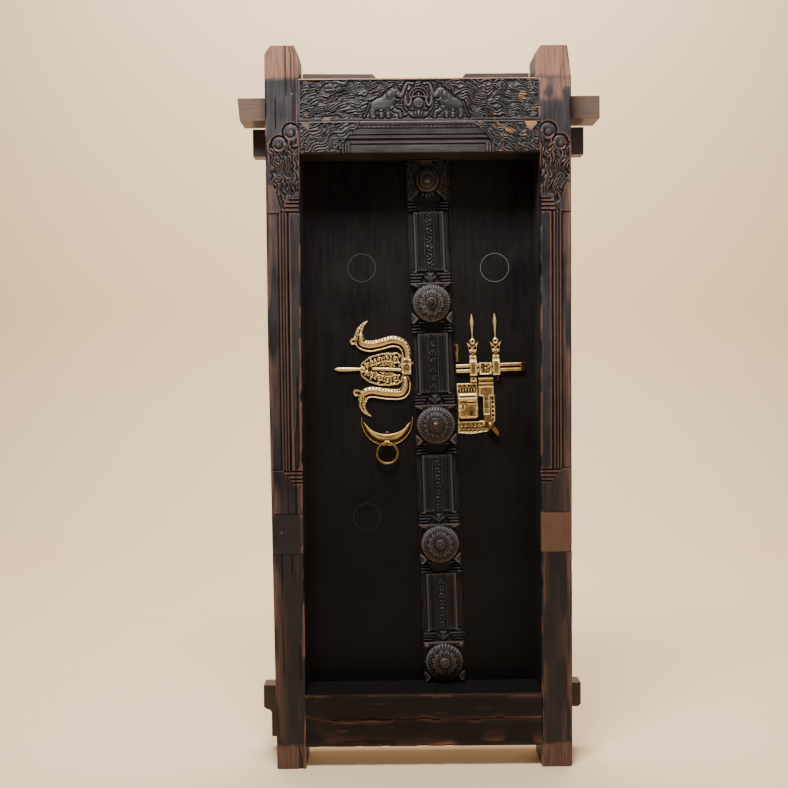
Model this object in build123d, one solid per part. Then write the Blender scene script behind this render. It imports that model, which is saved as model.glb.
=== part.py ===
from build123d import *
import math
import os

# A carved two-leaf temple door in its own frame. Sizes are in millimetres.
# Depths are counted from the posts' front face towards the back of the door.

# Frame
door_h = 2120.0
opening_w = 700.0
left_post_w = 97.5
left_foot_w = 85.5
right_post_w = 90.0
post_d = 150.0
left_taper_z = 1290.0
horn_h = 95.0
right_horn_drop = 4.0
right_horn_overhang = 13.0
right_horn_lean = 11.0
horn_chamfer_w = 17.0
horn_chamfer_h = 24.0
foot_h = 64.0

# Boards and beams between and behind the posts
sill_board_top = 146.0
sill_board_d = 75.0
threshold_top = 220.0
lintel_h = 92.0
frieze_h = 123.0
frieze_d = 75.0
cross_beam_rise = 17.0
cross_beam_h = 66.0
cross_beam_l = 1072.0
rear_beam_d = 65.0
head_beam_rise = 15.0
head_beam_h = 82.0
head_beam_l = 1000.0
sill_beam_z = 134.0
sill_beam_h = 74.0
sill_beam_l = 978.0
sill_beam_tail_w = 30.0
sill_beam_tail_h = 85.0
top_board_t = 30.0
top_board_rise = 78.0
top_board_dip = 28.0
tenon_l = 65.0
tenon_t = 40.0
tenon_shoulder = 12.0
peg_half = 8.0
peg_bite = 100.0

# Carved post fronts
flat_w = 32.5
pilaster_groove_w = 4.5
pilaster_groove_t = 7.0
reed_w = 8.5
reed_count = 3
reed_groove_t = 3.0
worn_strip_t = 3.0
base_band_z = 838.0
base_band_top = 887.0
cap_band_drop = 170.0
cap_band_h = 46.0
band_count = 4
band_groove_h = 4.0
band_groove_t = 4.0
carving_t = 5.0
roundel_in_x = 23.0
roundel_in_rise = 62.0
roundel_in_r = 25.0
roundel_out_x = 58.0
roundel_out_rise = 28.0
roundel_out_r = 23.0
patch_z = 640.0
patch_h = 120.0
patch_t = 25.0
nail_half = 3.0
nail_l = 18.0
nail_head = 5.5
nail_head_t = 2.5

# Leaves
leaf_gap = 1.0
leaf_t = 36.0
leaf_z = 210.0
leaf_lap = 12.0
hinge_out = 7.0
pivot_r = 15.0
pivot_clear = 0.08
upper_pivot_l = 60.0
lower_pivot_l = 45.0
meeting_gap = 1.6
lean = 1.65
ledge_t = 24.0
ledge_h = 80.0
ledge_inset = 22.0
stud_half = 3.5
rove_half = 12.0
rove_t = 2.0

# Centre strip and its bosses
strip_x = 46.1
strip_w = 124.0
strip_margin = 4.5
strip_z = 223.0
strip_end_gap = 2.0
strip_base_t = 14.0
strip_fillet_w = 7.0
strip_fillet_t = 3.0
shaft_w = 92.0
shaft_t = 9.0
lace_w = 24.0
lace_t = 3.0
lace_pitch = 30.0
shaft_bead_w = 8.0
shaft_groove_w = 3.0
shaft_groove_t = 3.0
well_over = 36.0
well_under = 28.0
boss_shares = (0, 0.2478, 0.4962, 0.7488, 1)
boss_end = 1.0
block_w = 122.0
block_t = 20.0
lock_off = 1.5
dome_r = 56.0
dome_t = 24.0
dome_lobes = (10, 11, 12, 11, 9)
bar_reach = 61.0
bar_h = 5.0
bar_step = 9.0
bar_inner = (31.0, 26.0, 19.0, 40.0)
under_bar_inner = (38.0, 33.0, 27.0)
stud_head_r = (14.0, 14.0, 24.0, 14.0, 27.0)
stud_head_t = 12.0

# Left brass set
plate_t = 4.0
set_x = -38.0
set_rise = 170.0
filigree_l = 134.0
filigree_w = 98.0
filigree_bar_w = 11.0
tongue_l = 78.0
tongue_w = 12.0
hasp_end_w = 30.0
hasp_end_h = 51.0
hasp_end_t = 11.0
serpent_w = 33.0
serpent_t = 13.0
crescent_x = -102.0
crescent_r = 78.5
crescent_rise = 14.5
crescent_inner_r = 83.5
crescent_inner_rise = 55.0
crescent_t = 8.0
ring_r = 31.6
ring_wire_r = 3.85
staple_w = 13.0
staple_wall = 3.2
staple_clear = 1.3

# Right brass set, set out square to the leaning strip
bolt_l = 209.0
bolt_h = 26.0
bolt_t = 10.0
bolt_rise = 167.0
bolt_clear = 0.4
bolt_groove_h = 5.0
bolt_groove_t = 3.0
keeper_w = 23.0
keeper_wall = 3.0
keeper_rim = 10.0
left_keeper_x = 53.5
right_keeper_x = 123.5
keeper_plate_x = 90.0
keeper_plate_w = 40.0
ear_w = 37.0
ear_h = 58.0
spear_l = 86.0
spear_w = 11.5
lock_w = 63.0
lock_h = 78.0
lock_rise = 14.0
lock_t = 20.0
frame_drop = 34.0
frame_w = 116.0
frame_h = 156.0
frame_plate_t = 3.0
side_strip_w = 15.0
lower_border_h = 40.0
crest_h = 32.0
hasp_x = 90.0
hasp_axis_rise = 118.3
hasp_axis_off = 10.0
knuckle_r = 5.0
hasp_pin_r = 2.0
hasp_t = 4.0
hasp_top_w = 46.0
hasp_top_h = 31.0
hasp_strap_w = 21.0
hasp_strap_end = 95.0
ball_r = 12.5
hook_x = 123.5
hook_rise = 132.0
hook_r = 8.0
bolt_staple_rise = 124.5
bolt_staple_h = 15.5

# Derived places
half_open = opening_w / 2
frieze_top = door_h - horn_h
lintel_top = frieze_top - frieze_h
lintel_bottom = lintel_top - lintel_h
cross_beam_z = lintel_top + cross_beam_rise
head_beam_z = lintel_bottom + head_beam_rise
cap_band_z = lintel_bottom - cap_band_drop
cap_band_top = cap_band_z + cap_band_h
roundel_in_z = lintel_bottom + roundel_in_rise
roundel_out_z = lintel_bottom + roundel_out_rise
leaf_top = lintel_bottom + leaf_lap
strip_top = lintel_bottom - strip_end_gap
boss_low = strip_z + block_w / 2 + boss_end
boss_high = strip_top - block_w / 2 - boss_end
boss_z = tuple(round(boss_low + share * (boss_high - boss_low)) for share in boss_shares)
ledge_z = (boss_z[0], boss_z[2], boss_z[4])
strip_mid_z = boss_z[2]
set_z = strip_mid_z + set_rise
crescent_z = strip_mid_z + crescent_rise
crescent_inner_z = strip_mid_z + crescent_inner_rise
bolt_z = strip_mid_z + bolt_rise
lock_z = strip_mid_z + lock_rise
frame_z = strip_mid_z - frame_drop
hasp_axis_z = strip_mid_z + hasp_axis_rise
total_d = post_d + rear_beam_d
front_y = -total_d / 2
leaf_front = post_d + leaf_gap
leaf_back = leaf_front + leaf_t
pivot_x = half_open + hinge_out
pivot_d = leaf_front + leaf_t / 2
strip_front = leaf_front - strip_base_t
shaft_front = strip_front - shaft_t
block_front = strip_front - block_t
meeting_off = strip_w / 2 + strip_margin


def slab(points, near, far):
    """A plate whose outline is given in x and z, between two depths."""
    face = Plane.XZ.offset(-(front_y + near)) * make_face(Polyline(*points, close=True))
    return extrude(face, amount=-(far - near))


def block(x0, x1, near, far, z0, z1):
    """A box between two x, two depths and two heights."""
    body = Box(x1 - x0, far - near, z1 - z0)
    return Pos((x0 + x1) / 2, front_y + (near + far) / 2, (z0 + z1) / 2) * body


def rod_y(x, z, r, near, far):
    """A round rod that runs front to back."""
    length = far - near
    return Pos(x, front_y + (near + far) / 2, z) * Rot(90, 0, 0) * Cylinder(r, length)


def square_y(x, z, half, near, far):
    """A square bar that runs front to back."""
    return block(x - half, x + half, near, far, z - half, z + half)


def frustum(x, z, r, depth, length, r_end, sides=12):
    """A round piece in flat facets that stands forward from a depth and narrows to r_end."""
    narrowing = math.degrees(math.atan((r - r_end) / length))
    face = Plane.XZ.offset(-(front_y + depth)) * Pos(x, z) * RegularPolygon(r, sides)
    return extrude(face, amount=length, taper=narrowing)


def rod_x(x0, x1, depth, z, r):
    """A round rod that runs from side to side."""
    return Pos((x0 + x1) / 2, front_y + depth, z) * Rot(0, 90, 0) * Cylinder(r, x1 - x0)


def turned(x, z, profile):
    """A turned piece on a front-to-back axis, its profile given as radius and depth."""
    face = make_face(Polyline(*[(r, front_y + d) for r, d in profile], close=True))
    return Pos(x, 0, z) * revolve(face, Axis.Y)


def leaned(shape):
    """Turns a piece with the strip, about the strip's middle."""
    pin = Axis((strip_x, 0, strip_mid_z), (0, 1, 0))
    return shape.rotate(pin, -lean)


def strip_at(z):
    """The strip's centre line at a height."""
    return strip_x + (strip_mid_z - z) * math.tan(math.radians(lean))


def mirrored(shape):
    return mirror(shape, about=Plane.YZ)


def spiral_outline(x, z, r, width, turns, start, hand):
    """The outline of a scroll that winds in to its eye."""
    steps = int(turns * 6)
    outer = []
    inner = []
    for step in range(steps + 1):
        share = step / steps
        angle = math.radians(start) + hand * share * turns * 2 * math.pi
        reach = r * (1 - 0.72 * share)
        half = width * (1 - 0.45 * share) / 2
        outer.append((x + (reach + half) * math.cos(angle), z + (reach + half) * math.sin(angle)))
        inner.append((x + (reach - half) * math.cos(angle), z + (reach - half) * math.sin(angle)))
    return outer + inner[::-1]


def scroll(x, z, r, width, start, hand, near, far, turns=1.25):
    return slab(spiral_outline(x, z, r, width, turns, start, hand), near, far)


def leaf_outline(x, z, length, width, angle):
    """A pointed leaf that grows from x, z."""
    turn = math.radians(angle)
    shape = [(0, 0), (0.3, 0.5), (0.65, 0.42), (1, 0), (0.65, -0.22), (0.3, -0.4)]
    points = []
    for along, across in shape:
        u = along * length
        v = across * width
        points.append((x + u * math.cos(turn) - v * math.sin(turn),
                       z + u * math.sin(turn) + v * math.cos(turn)))
    return points


def smooth_path(points, per_span):
    """Points on a smooth line through the given x, z, width triples."""
    line = []
    ends = [points[0]] + list(points) + [points[-1]]
    for i in range(1, len(ends) - 2):
        for step in range(per_span):
            t = step / per_span
            a, b, c, d = ends[i - 1], ends[i], ends[i + 1], ends[i + 2]
            line.append(tuple(
                0.5 * (2 * b[k] + (c[k] - a[k]) * t + (2 * a[k] - 5 * b[k] + 4 * c[k] - d[k]) * t * t
                       + (3 * b[k] - a[k] - 3 * c[k] + d[k]) * t ** 3)
                for k in range(3)))
    line.append(tuple(points[-1]))
    return line


def ribbon(points, near, far, share=1.0, shift=0.0, per_span=3):
    """A band of changing width along a smooth line, share and shift in widths."""
    line = smooth_path(points, per_span)
    left = []
    right = []
    for i, (x, z, w) in enumerate(line):
        x0, z0, _ = line[max(i - 1, 0)]
        x1, z1, _ = line[min(i + 1, len(line) - 1)]
        length = math.hypot(x1 - x0, z1 - z0)
        nx, nz = -(z1 - z0) / length, (x1 - x0) / length
        a = w * (shift + share / 2)
        b = w * (shift - share / 2)
        left.append((x + nx * a, z + nz * a))
        right.append((x + nx * b, z + nz * b))
    return slab(left + right[::-1], near, far)


def post_outline(left):
    """The post seen from the front, with its foot and its horn."""
    inner = half_open
    if left:
        return [
            (-inner, 0), (-inner, door_h - horn_chamfer_h + 4), (-inner - horn_chamfer_w * 0.65, door_h),
            (-inner - left_post_w + horn_chamfer_w, door_h), (-inner - left_post_w, door_h - horn_chamfer_h),
            (-inner - left_post_w, left_taper_z), (-inner - left_foot_w, 0),
        ]
    top = door_h - right_horn_drop
    step = inner - right_horn_overhang
    return [
        (inner, 0), (inner, frieze_top), (step, frieze_top), (step, top - horn_chamfer_h + 4),
        (step + horn_chamfer_w, top), (inner + right_post_w - right_horn_lean, top),
        (inner + right_post_w, frieze_top), (inner + right_post_w, 0),
    ]


def post_mouldings():
    """The grooves of the right post's pilaster; the left post takes their mirror image."""
    x0 = half_open
    cuts = []
    groove_x = x0 + flat_w
    cuts.append(block(groove_x, groove_x + pilaster_groove_w, 0, pilaster_groove_t, base_band_top, cap_band_z))
    reed_x = groove_x + pilaster_groove_w
    for i in range(reed_count):
        edge = reed_x + (i + 1) * reed_w
        v_cut = make_face(Polyline(
            (edge - 1.8, front_y), (edge, front_y + reed_groove_t), (edge + 1.8, front_y), close=True))
        cuts.append(Pos(0, 0, base_band_top) * extrude(v_cut, amount=cap_band_z - base_band_top))
    strip_edge = reed_x + reed_count * reed_w + 2.5
    cuts.append(block(strip_edge, x0 + left_post_w, 0, worn_strip_t, base_band_top, cap_band_z))
    for i in range(band_count):
        share = i / (band_count - 1)
        reach = flat_w + (1 - share) * reed_w * reed_count
        cap_z = cap_band_z + i * (cap_band_top - cap_band_z) / band_count
        base_z = base_band_top - i * (base_band_top - base_band_z) / band_count
        cuts.append(block(x0, x0 + reach, 0, band_groove_t, cap_z, cap_z + band_groove_h))
        cuts.append(block(x0, x0 + reach, 0, band_groove_t, base_z - band_groove_h, base_z))
    return cuts


def post_carving_pocket():
    """The lowered ground of the foliage on the post's head."""
    x0 = half_open + 3
    x1 = half_open + right_post_w - 5
    low = cap_band_top + 4
    points = [(x0, low + 3), (x0 + 34, low - 20), (x0 + 44, low - 34), (x0 + 60, low + 4), (x1, low + 60),
              (x1, roundel_out_z - roundel_out_r - 4), (x0, roundel_in_z - roundel_in_r - 18)]
    return slab(points, 0, carving_t)


def post_foliage():
    """Scrolls and leaves that stand up from the lowered ground."""
    x0 = half_open
    near, far = 0.6, carving_t + 1
    pieces = []
    top = lintel_bottom
    spots = ((32, 28, 20, 200, 1), (56, 64, 19, 20, -1), (30, 88, 17, 160, 1), (54, 114, 15, 40, -1))
    for dx, drop, r, start, hand in spots:
        pieces.append(scroll(x0 + dx, top - drop, r, 7.5, start, hand, near, far))
    leaves = ((14, 0, 34, 15, 35), (66, 20, 30, 13, 100), (12, 58, 26, 12, 60), (72, 94, 26, 12, 110),
              (42, 120, 28, 13, 250))
    for dx, drop, length, width, angle in leaves:
        pieces.append(slab(leaf_outline(x0 + dx, top - drop, length, width, angle), near, far))
    return pieces


def roundel(x, z, r, eye_shift):
    """One eye-like roundel: a dark ring groove round a raised boss."""
    ring = frustum(x, z, r, 4, 4, r, 14) - frustum(x, z, r - 3.5, 4, 4, r - 3.5, 14)
    eye = frustum(x + eye_shift, z - 2, r * 0.42, 2.5, 2.5, r * 0.42, 8)
    dish = frustum(x, z, r - 3.5, 2.5, 2.5, r - 3.5, 14) - eye
    return ring + dish


def post(left):
    outline = post_outline(left)
    body = slab(outline, 0, post_d)
    side = -1 if left else 1
    cuts = list(post_mouldings()) + [post_carving_pocket()]
    cuts.append(roundel(half_open + roundel_in_x, roundel_in_z, roundel_in_r, -4))
    cuts.append(roundel(half_open + roundel_out_x, roundel_out_z, roundel_out_r, 4))
    foliage = post_foliage()
    if left:
        cuts = [mirrored(cut) for cut in cuts]
        foliage = [mirrored(piece) for piece in foliage]
    body = body - cuts
    keep = slab(outline, 0, post_d)
    body = body + [piece & keep for piece in foliage]
    body = body - [mortise(side, span) for span in tenon_spans()]
    wide = (half_open - 60, half_open + left_post_w + 60)
    x0, x1 = (-wide[1], -wide[0]) if left else wide
    body = body - block(x0, x1, frieze_d, post_d + 1, cross_beam_z, cross_beam_z + cross_beam_h)
    body = body - block(x0, x1, -1, patch_t, patch_z, patch_z + patch_h)
    holes = peg_bores()
    holes += [square_y(x, z, nail_half, 0, nail_l) for x, z in post_nail_places() if x * side > 0]
    body = body - holes
    return body


def tenon_spans():
    """Each tenon between the posts: its two depths and two heights."""
    mid = post_d / 2
    return (
        (mid - tenon_t / 2, mid + tenon_t / 2, lintel_bottom + tenon_shoulder, lintel_top - tenon_shoulder),
        (mid - tenon_t / 2, mid + tenon_t / 2, sill_board_top + tenon_shoulder, threshold_top - tenon_shoulder),
        (sill_board_d * 0.3, sill_board_d * 0.75, foot_h + tenon_shoulder, sill_board_top - tenon_shoulder),
        (frieze_d * 0.3, frieze_d * 0.75, lintel_top + tenon_shoulder, frieze_top - tenon_shoulder),
    )


def mortise(side, span):
    near, far, z0, z1 = span
    x0 = half_open - 1
    x1 = half_open + tenon_l
    return block(min(side * x0, side * x1), max(side * x0, side * x1), near, far, z0, z1)


def tenons(span):
    near, far, z0, z1 = span
    reach = half_open + tenon_l
    return block(-reach, reach, near, far, z0, z1)


def peg_places():
    """Where the rear beams are pegged to the posts."""
    across = half_open + right_post_w / 2
    heights = (head_beam_z + head_beam_h / 2, sill_beam_z + sill_beam_h / 2)
    return [(side * across, z) for side in (-1, 1) for z in heights]


def peg_bores():
    return [square_y(x, z, peg_half, post_d - peg_bite, total_d) for x, z in peg_places()]


def frame_pegs():
    """Pegs driven from the back through beam, post and tenon."""
    return Compound(children=peg_bores())


def post_nail_places():
    right = half_open + 17
    return ((-half_open - 20, frieze_top - 45), (right, frieze_top - 25), (right, frieze_top - 61))


def patch_nail_places():
    mid = patch_z + patch_h / 2
    return ((-half_open - 64, mid + 4), (half_open + 43, mid - 7))


def patch_nails():
    places = post_nail_places() + patch_nail_places()
    return Compound(children=[square_y(x, z, nail_half, 0.3, nail_l) for x, z in places])


def patch(left):
    """A repair block let into the front of the post."""
    outline = post_outline(left)
    side = -1 if left else 1
    band = block(-half_open - 200, half_open + 200, 0, patch_t, patch_z, patch_z + patch_h)
    body = slab(outline, 0, patch_t) & band
    holes = [square_y(x, z, nail_half, 0, nail_l) for x, z in patch_nail_places() if x * side > 0]
    return body - holes


def rinceau(x0, x1, z0, z1, rows, columns, near, far):
    """Rows of scrolls with a leaf between each pair."""
    pieces = []
    step = (x1 - x0) / columns
    rise = (z1 - z0) / rows
    r = min(step, rise) * 0.40
    for row in range(rows):
        for column in range(columns):
            hand = 1 if (row + column) % 2 else -1
            x = x0 + (column + 0.5) * step
            z = z0 + (row + 0.5) * rise
            pieces.append(scroll(x, z, r, r * 0.36, 90 * hand, hand, near, far))
            pieces.append(slab(leaf_outline(x + hand * r * 0.9, z, r * 1.15, r * 0.6, 70 * hand), near, far))
    return pieces


def elephant(facing):
    """One elephant in relief, walking to the middle with its trunk raised."""
    outline = [
        (-161, 12), (-154, 14), (-150, 26), (-146, 12), (-132, 12), (-129, 28), (-108, 29), (-106, 12),
        (-93, 12), (-88, 32), (-78, 34), (-74, 12), (-62, 12), (-60, 42), (-52, 56), (-46, 72),
        (-52, 88), (-40, 102), (-41, 111), (-50, 110), (-62, 92), (-66, 102), (-76, 106), (-83, 98),
        (-96, 82), (-124, 72), (-142, 58), (-151, 36),
    ]
    ear = [(-84, 92), (-72, 94), (-66, 72), (-76, 60)]
    pieces = []
    for points, near, far in ((outline, 1.0, 7.5), (ear, 0, 2)):
        placed = [(x if facing > 0 else -x * 0.93 - 5, lintel_top + rise) for x, rise in points]
        pieces.append(slab(placed, near, far))
    return pieces[0] + pieces[1]


def crowned_figure():
    """The round face and crown over a lotus, under an arch, between the elephants."""
    x = -3.0
    z = lintel_top + 50
    near, far = 0.5, 7.5
    arch = []
    for r, order in ((39, 1), (30, -1)):
        angles = range(5, 176, 34) if order > 0 else range(175, 4, -34)
        arch += [(x + r * math.cos(math.radians(a)), z + 21 + r * math.sin(math.radians(a))) for a in angles]
    head = frustum(x, z, 16, far, far - 1.0, 9)
    crown = slab([(x - 15, z + 14), (x - 16, z + 24), (x - 8, z + 34), (x, z + 42), (x + 8, z + 34),
                  (x + 16, z + 24), (x + 15, z + 14)], 1.5, far)
    petals = [slab(leaf_outline(x + dx, z - 40, 22, 9, 90), near, far) for dx in (-24, -12, 0, 12, 24)]
    ears = [slab([(x + side * 18, z + 10), (x + side * 28, z + 8), (x + side * 27, z - 12),
                  (x + side * 19, z - 8)], 1.5, far) for side in (-1, 1)]
    return [slab(arch, near, far), head, crown] + petals + ears


def frieze_board():
    rim = 7.0
    x1 = half_open
    body = block(-x1, x1, 0, frieze_d, lintel_top, frieze_top)
    ground = block(-x1 + rim, x1 - rim, -1, 6.5, lintel_top + rim + 3, frieze_top - rim)
    body = body - ground
    z0 = lintel_top + rim + 3
    z1 = frieze_top - rim
    carving = rinceau(-x1 + rim + 2, -168, z0, z1, 2, 3, 1.5, 7.5)
    carving += rinceau(168, x1 - rim - 2, z0, z1, 2, 3, 1.5, 7.5)
    carving += [elephant(1), elephant(-1)] + crowned_figure()
    body = body + carving
    return body + tenons(tenon_spans()[3])


def lintel():
    """The lintel: carved ends, and mouldings stepped in to the opening between them."""
    ground_d = 9.0
    z0, z1 = lintel_bottom, lintel_top
    body = block(-half_open, half_open, ground_d, post_d, z0, z1)
    pieces = [
        moulding(-202, 193, 0.0, ground_d, z1 - 7, z1),
        moulding(-202, 193, 3.0, ground_d, z0 + 53, z0 + 70),
        moulding(-202, 193, 4.0, ground_d, z0 + 43, z0 + 51),
        moulding(-202, 193, 5.0, ground_d, z0 + 27, z0 + 35),
        moulding(-202, 193, 4.0, ground_d, z0, z0 + 23),
    ]
    for i in range(reed_count):
        pieces.append(block(-228 + i * 8.5, -222 + i * 8.5, 0, ground_d, z0, z0 + 28))
        pieces.append(block(213 - i * 8.5, 219 - i * 8.5, 0, ground_d, z0, z0 + 28))
    bead_pitch = 14.0
    beads = int(340 / bead_pitch)
    for i in range(beads):
        x = -174 + (i + 0.5) * bead_pitch
        pieces.append(block(x - 4.4, x + 4.4, 2.0, ground_d, z0 + 71.5, z0 + 83))
    left_end = [(-half_open, z0), (-234, z0), (-234, z0 + 34), (-218, z0 + 50), (-203, z0 + 68), (-203, z1),
                (-half_open, z1)]
    right_end = [(-x * 0.985, z) for x, z in left_end[1:-1]]
    right_end = [(half_open, z0)] + right_end + [(half_open, z1)]
    body = body + pieces
    body = body + [slab(left_end, 5.5, ground_d), slab(right_end, 5.5, ground_d)]
    carving = rinceau(-half_open + 6, -232, z0 + 8, z1 - 6, 1, 2, 1.0, 6.5)
    carving += rinceau(232, half_open - 6, z0 + 8, z1 - 6, 1, 2, 1.0, 6.5)
    carving += [scroll(-216, z0 + 66, 13, 5, 0, 1, 1, 6.5), scroll(216, z0 + 66, 13, 5, 180, -1, 1, 6.5)]
    return body + carving + tenons(tenon_spans()[0]) - peg_bores()


def moulding(x0, x1, near, far, z0, z1):
    """A straight moulding with a rounded nose."""
    nose = (z1 - z0) * 0.28
    profile = Polyline(
        (front_y + far, z0), (front_y + near + nose, z0), (front_y + near, z0 + nose),
        (front_y + near, z1 - nose), (front_y + near + nose, z1), (front_y + far, z1), close=True)
    return Pos(x0, 0, 0) * extrude(Plane.YZ * make_face(profile), amount=x1 - x0)


def threshold():
    body = block(-half_open, half_open, 0, post_d, sill_board_top, threshold_top)
    return body + tenons(tenon_spans()[1]) - peg_bores()


def sill_board():
    body = block(-half_open, half_open, 1.5, sill_board_d, foot_h, sill_board_top)
    return body + tenons(tenon_spans()[2])


def cross_beam():
    half = cross_beam_l / 2
    z0, z1 = cross_beam_z, cross_beam_z + cross_beam_h
    outline = [(-half + 6, z0), (half, z0), (half, z1), (-half, z1)]
    return slab(outline, frieze_d, total_d - 15)


def top_board():
    """The dipped board on the cross beam."""
    z0 = cross_beam_z + cross_beam_h
    z1 = z0 + top_board_rise
    outline = [(-half_open + 4, z0), (half_open - 18, z0), (half_open - 18, z1), (142, z1),
               (118, z1 - top_board_dip), (20, z1 - top_board_dip - 18), (-110, z1 - top_board_dip),
               (-136, z1), (-half_open + 4, z1 + 2)]
    return slab(outline, post_d - top_board_t, post_d)


def head_beam():
    half = head_beam_l / 2
    body = block(-half, half, post_d, total_d, head_beam_z, head_beam_z + head_beam_h)
    cross_top = cross_beam_z + cross_beam_h
    body = body - block(-half - 1, half + 1, post_d + 35, total_d + 1, cross_beam_z, cross_top)
    return body - peg_bores() - [
        pivot_bore(side, leaf_top - 1, leaf_top + upper_pivot_l + 2) for side in (-1, 1)]


def sill_beam():
    half = sill_beam_l / 2
    z0, z1 = sill_beam_z, sill_beam_z + sill_beam_h
    tail_x = -half + 24
    r = 14.0
    line = [(half, z0 + 8), (half, z1), (-half, z1), (-half, z0 + 8), (-half + 8, z0)]
    line += [(tail_x - r + r * math.sin(math.radians(a)), z0 - r + r * math.cos(math.radians(a)))
             for a in (20, 50, 80)]
    line += [(tail_x, z0 - sill_beam_tail_h), (tail_x + sill_beam_tail_w, z0 - sill_beam_tail_h),
             (tail_x + sill_beam_tail_w + 12, z0), (half - 8, z0)]
    body = slab(line, post_d, total_d)
    bottom = leaf_z - lower_pivot_l
    return body - peg_bores() - [
        pivot_bore(side, bottom, leaf_z + 1) for side in (-1, 1)]


def pivot_bore(side, z0, z1):
    rod = Cylinder(pivot_r + pivot_clear, z1 - z0)
    return Pos(side * pivot_x, front_y + pivot_d, (z0 + z1) / 2) * rod


def pivot(side, z0, z1):
    return Pos(side * pivot_x, front_y + pivot_d, (z0 + z1) / 2) * Cylinder(pivot_r, z1 - z0)


def panel(left):
    """One plank leaf with its round hinge edge and its pivots."""
    side = -1 if left else 1
    meet = [(strip_at(z) + meeting_off + side * meeting_gap / 2, z) for z in (leaf_z, leaf_top)]
    hinge_x = side * pivot_x
    body = slab([(hinge_x, leaf_z), (hinge_x, leaf_top), (meet[1][0], leaf_top), (meet[0][0], leaf_z)],
                leaf_front, leaf_back)
    edge = Pos(hinge_x, front_y + pivot_d, (leaf_z + leaf_top) / 2) * Cylinder(leaf_t / 2, leaf_top - leaf_z)
    body = body + edge
    body = body + pivot(side, leaf_z - lower_pivot_l, leaf_z + 5)
    body = body + pivot(side, leaf_top - 5, leaf_top + upper_pivot_l)
    if left:
        body = body - [stud_hole(z) for z in boss_z]
    else:
        body = body - [square_y(x, z, nail_half, leaf_back - nail_l, leaf_back) for x, z in ledge_nail_places()]
    return body


def stud_hole(z):
    return square_y(strip_at(z), z, stud_half, leaf_front - 80, total_d)


def ledge(left, z):
    """A rear ledge across the back of one leaf."""
    meet = strip_at(z) + meeting_off
    if left:
        x0, x1 = -half_open + ledge_inset, meet - ledge_inset
    else:
        x0, x1 = meet + ledge_inset, half_open - ledge_inset
    far = leaf_back + ledge_t
    bevel = 6.0
    profile = Polyline(
        (front_y + leaf_back, z - ledge_h / 2), (front_y + far - bevel, z - ledge_h / 2),
        (front_y + far, z - ledge_h / 2 + bevel), (front_y + far, z + ledge_h / 2 - bevel),
        (front_y + far - bevel, z + ledge_h / 2), (front_y + leaf_back, z + ledge_h / 2), close=True)
    body = Pos(x0, 0, 0) * extrude(Plane.YZ * make_face(profile), amount=x1 - x0)
    if left:
        return body - stud_hole(z)
    return body - [square_y(x, nz, nail_half, leaf_back, far) for x, nz in ledge_nail_places() if nz == z]


def ledge_nail_places():
    x0 = strip_x + meeting_off + 2 * ledge_inset
    x1 = half_open - 2 * ledge_inset
    return [(x, z) for z in ledge_z for x in (x0, (x0 + x1) / 2, x1)]


def ledge_nails():
    """Square forged nails with flat heads, driven through the ledges into the leaf."""
    far = leaf_back + ledge_t
    nails = []
    for x, z in ledge_nail_places():
        shank = square_y(x, z, nail_half, leaf_back - nail_l, far)
        nails.append(shank + square_y(x, z, nail_head, far, far + nail_head_t))
    return Compound(children=nails)


def strip_profile():
    """The strip's section: base, edge fillet, and the shaft with its edge beads and two grooves."""
    half = strip_w / 2
    fillet = strip_front - strip_fillet_t
    shaft = shaft_front
    x = shaft_w / 2
    points = [(half, leaf_front), (half, fillet), (half - strip_fillet_w, fillet),
              (half - strip_fillet_w, strip_front), (x, strip_front), (x, shaft + 1.5), (x - 1.5, shaft)]
    x = x - shaft_bead_w
    for _ in range(2):
        points += [(x, shaft), (x - shaft_groove_w / 2, shaft + shaft_groove_t), (x - shaft_groove_w, shaft)]
        x = x - shaft_groove_w - shaft_bead_w
    points += [(lace_w / 2 + 1.5, shaft), (lace_w / 2, shaft + 1.5)]
    right = [(strip_x + dx, front_y + d) for dx, d in points]
    left = [(strip_x - dx, front_y + d) for dx, d in points[::-1]]
    return right + left


def centre_strip():
    face = make_face(Polyline(*strip_profile(), close=True))
    body = Pos(0, 0, strip_z) * extrude(face, amount=strip_top - strip_z)
    beds = []
    carving = []
    half = block_w / 2
    for i, z in enumerate(boss_z):
        last = i == len(boss_z) - 1
        top = strip_top + 1 if last else z + half + well_over
        low = strip_z - 1 if i == 0 else z - half - well_under
        beds.append(block(strip_x - strip_w, strip_x + strip_w, shaft_front - 20, strip_front, low, top))
        if not last:
            carving += side_bars(z + half, 1, bar_inner)
            carving += side_bars(boss_z[i + 1] - half, -1, under_bar_inner)
            carving += lace_chain(z + half + well_over + 3, boss_z[i + 1] - half - well_under - 3)
            carving.append(bud(z + half))
    body = leaned(body - beds + carving)
    return body - [stud_hole(z) for z in boss_z]


def bud(z):
    """The pointed bud that stands on a block, under the shaft."""
    outline = [(-9, 2), (9, 2), (16, 24), (0, 34), (-16, 24)]
    return slab([(strip_x + dx, z + dz) for dx, dz in outline], strip_front - lace_t, strip_front + 2)


def side_bars(z, way, inner):
    """Short bars at both sides that step in from the block to the shaft."""
    bars = []
    for i, start in enumerate(inner):
        low = z + way * (bar_step * i + bar_h)
        z0, z1 = sorted((low, low + way * bar_h))
        for side in (-1, 1):
            x0, x1 = sorted((strip_x + side * start, strip_x + side * bar_reach))
            bars.append(block(x0, x1, shaft_front - 2, leaf_front - 4, z0, z1))
    return bars


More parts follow.
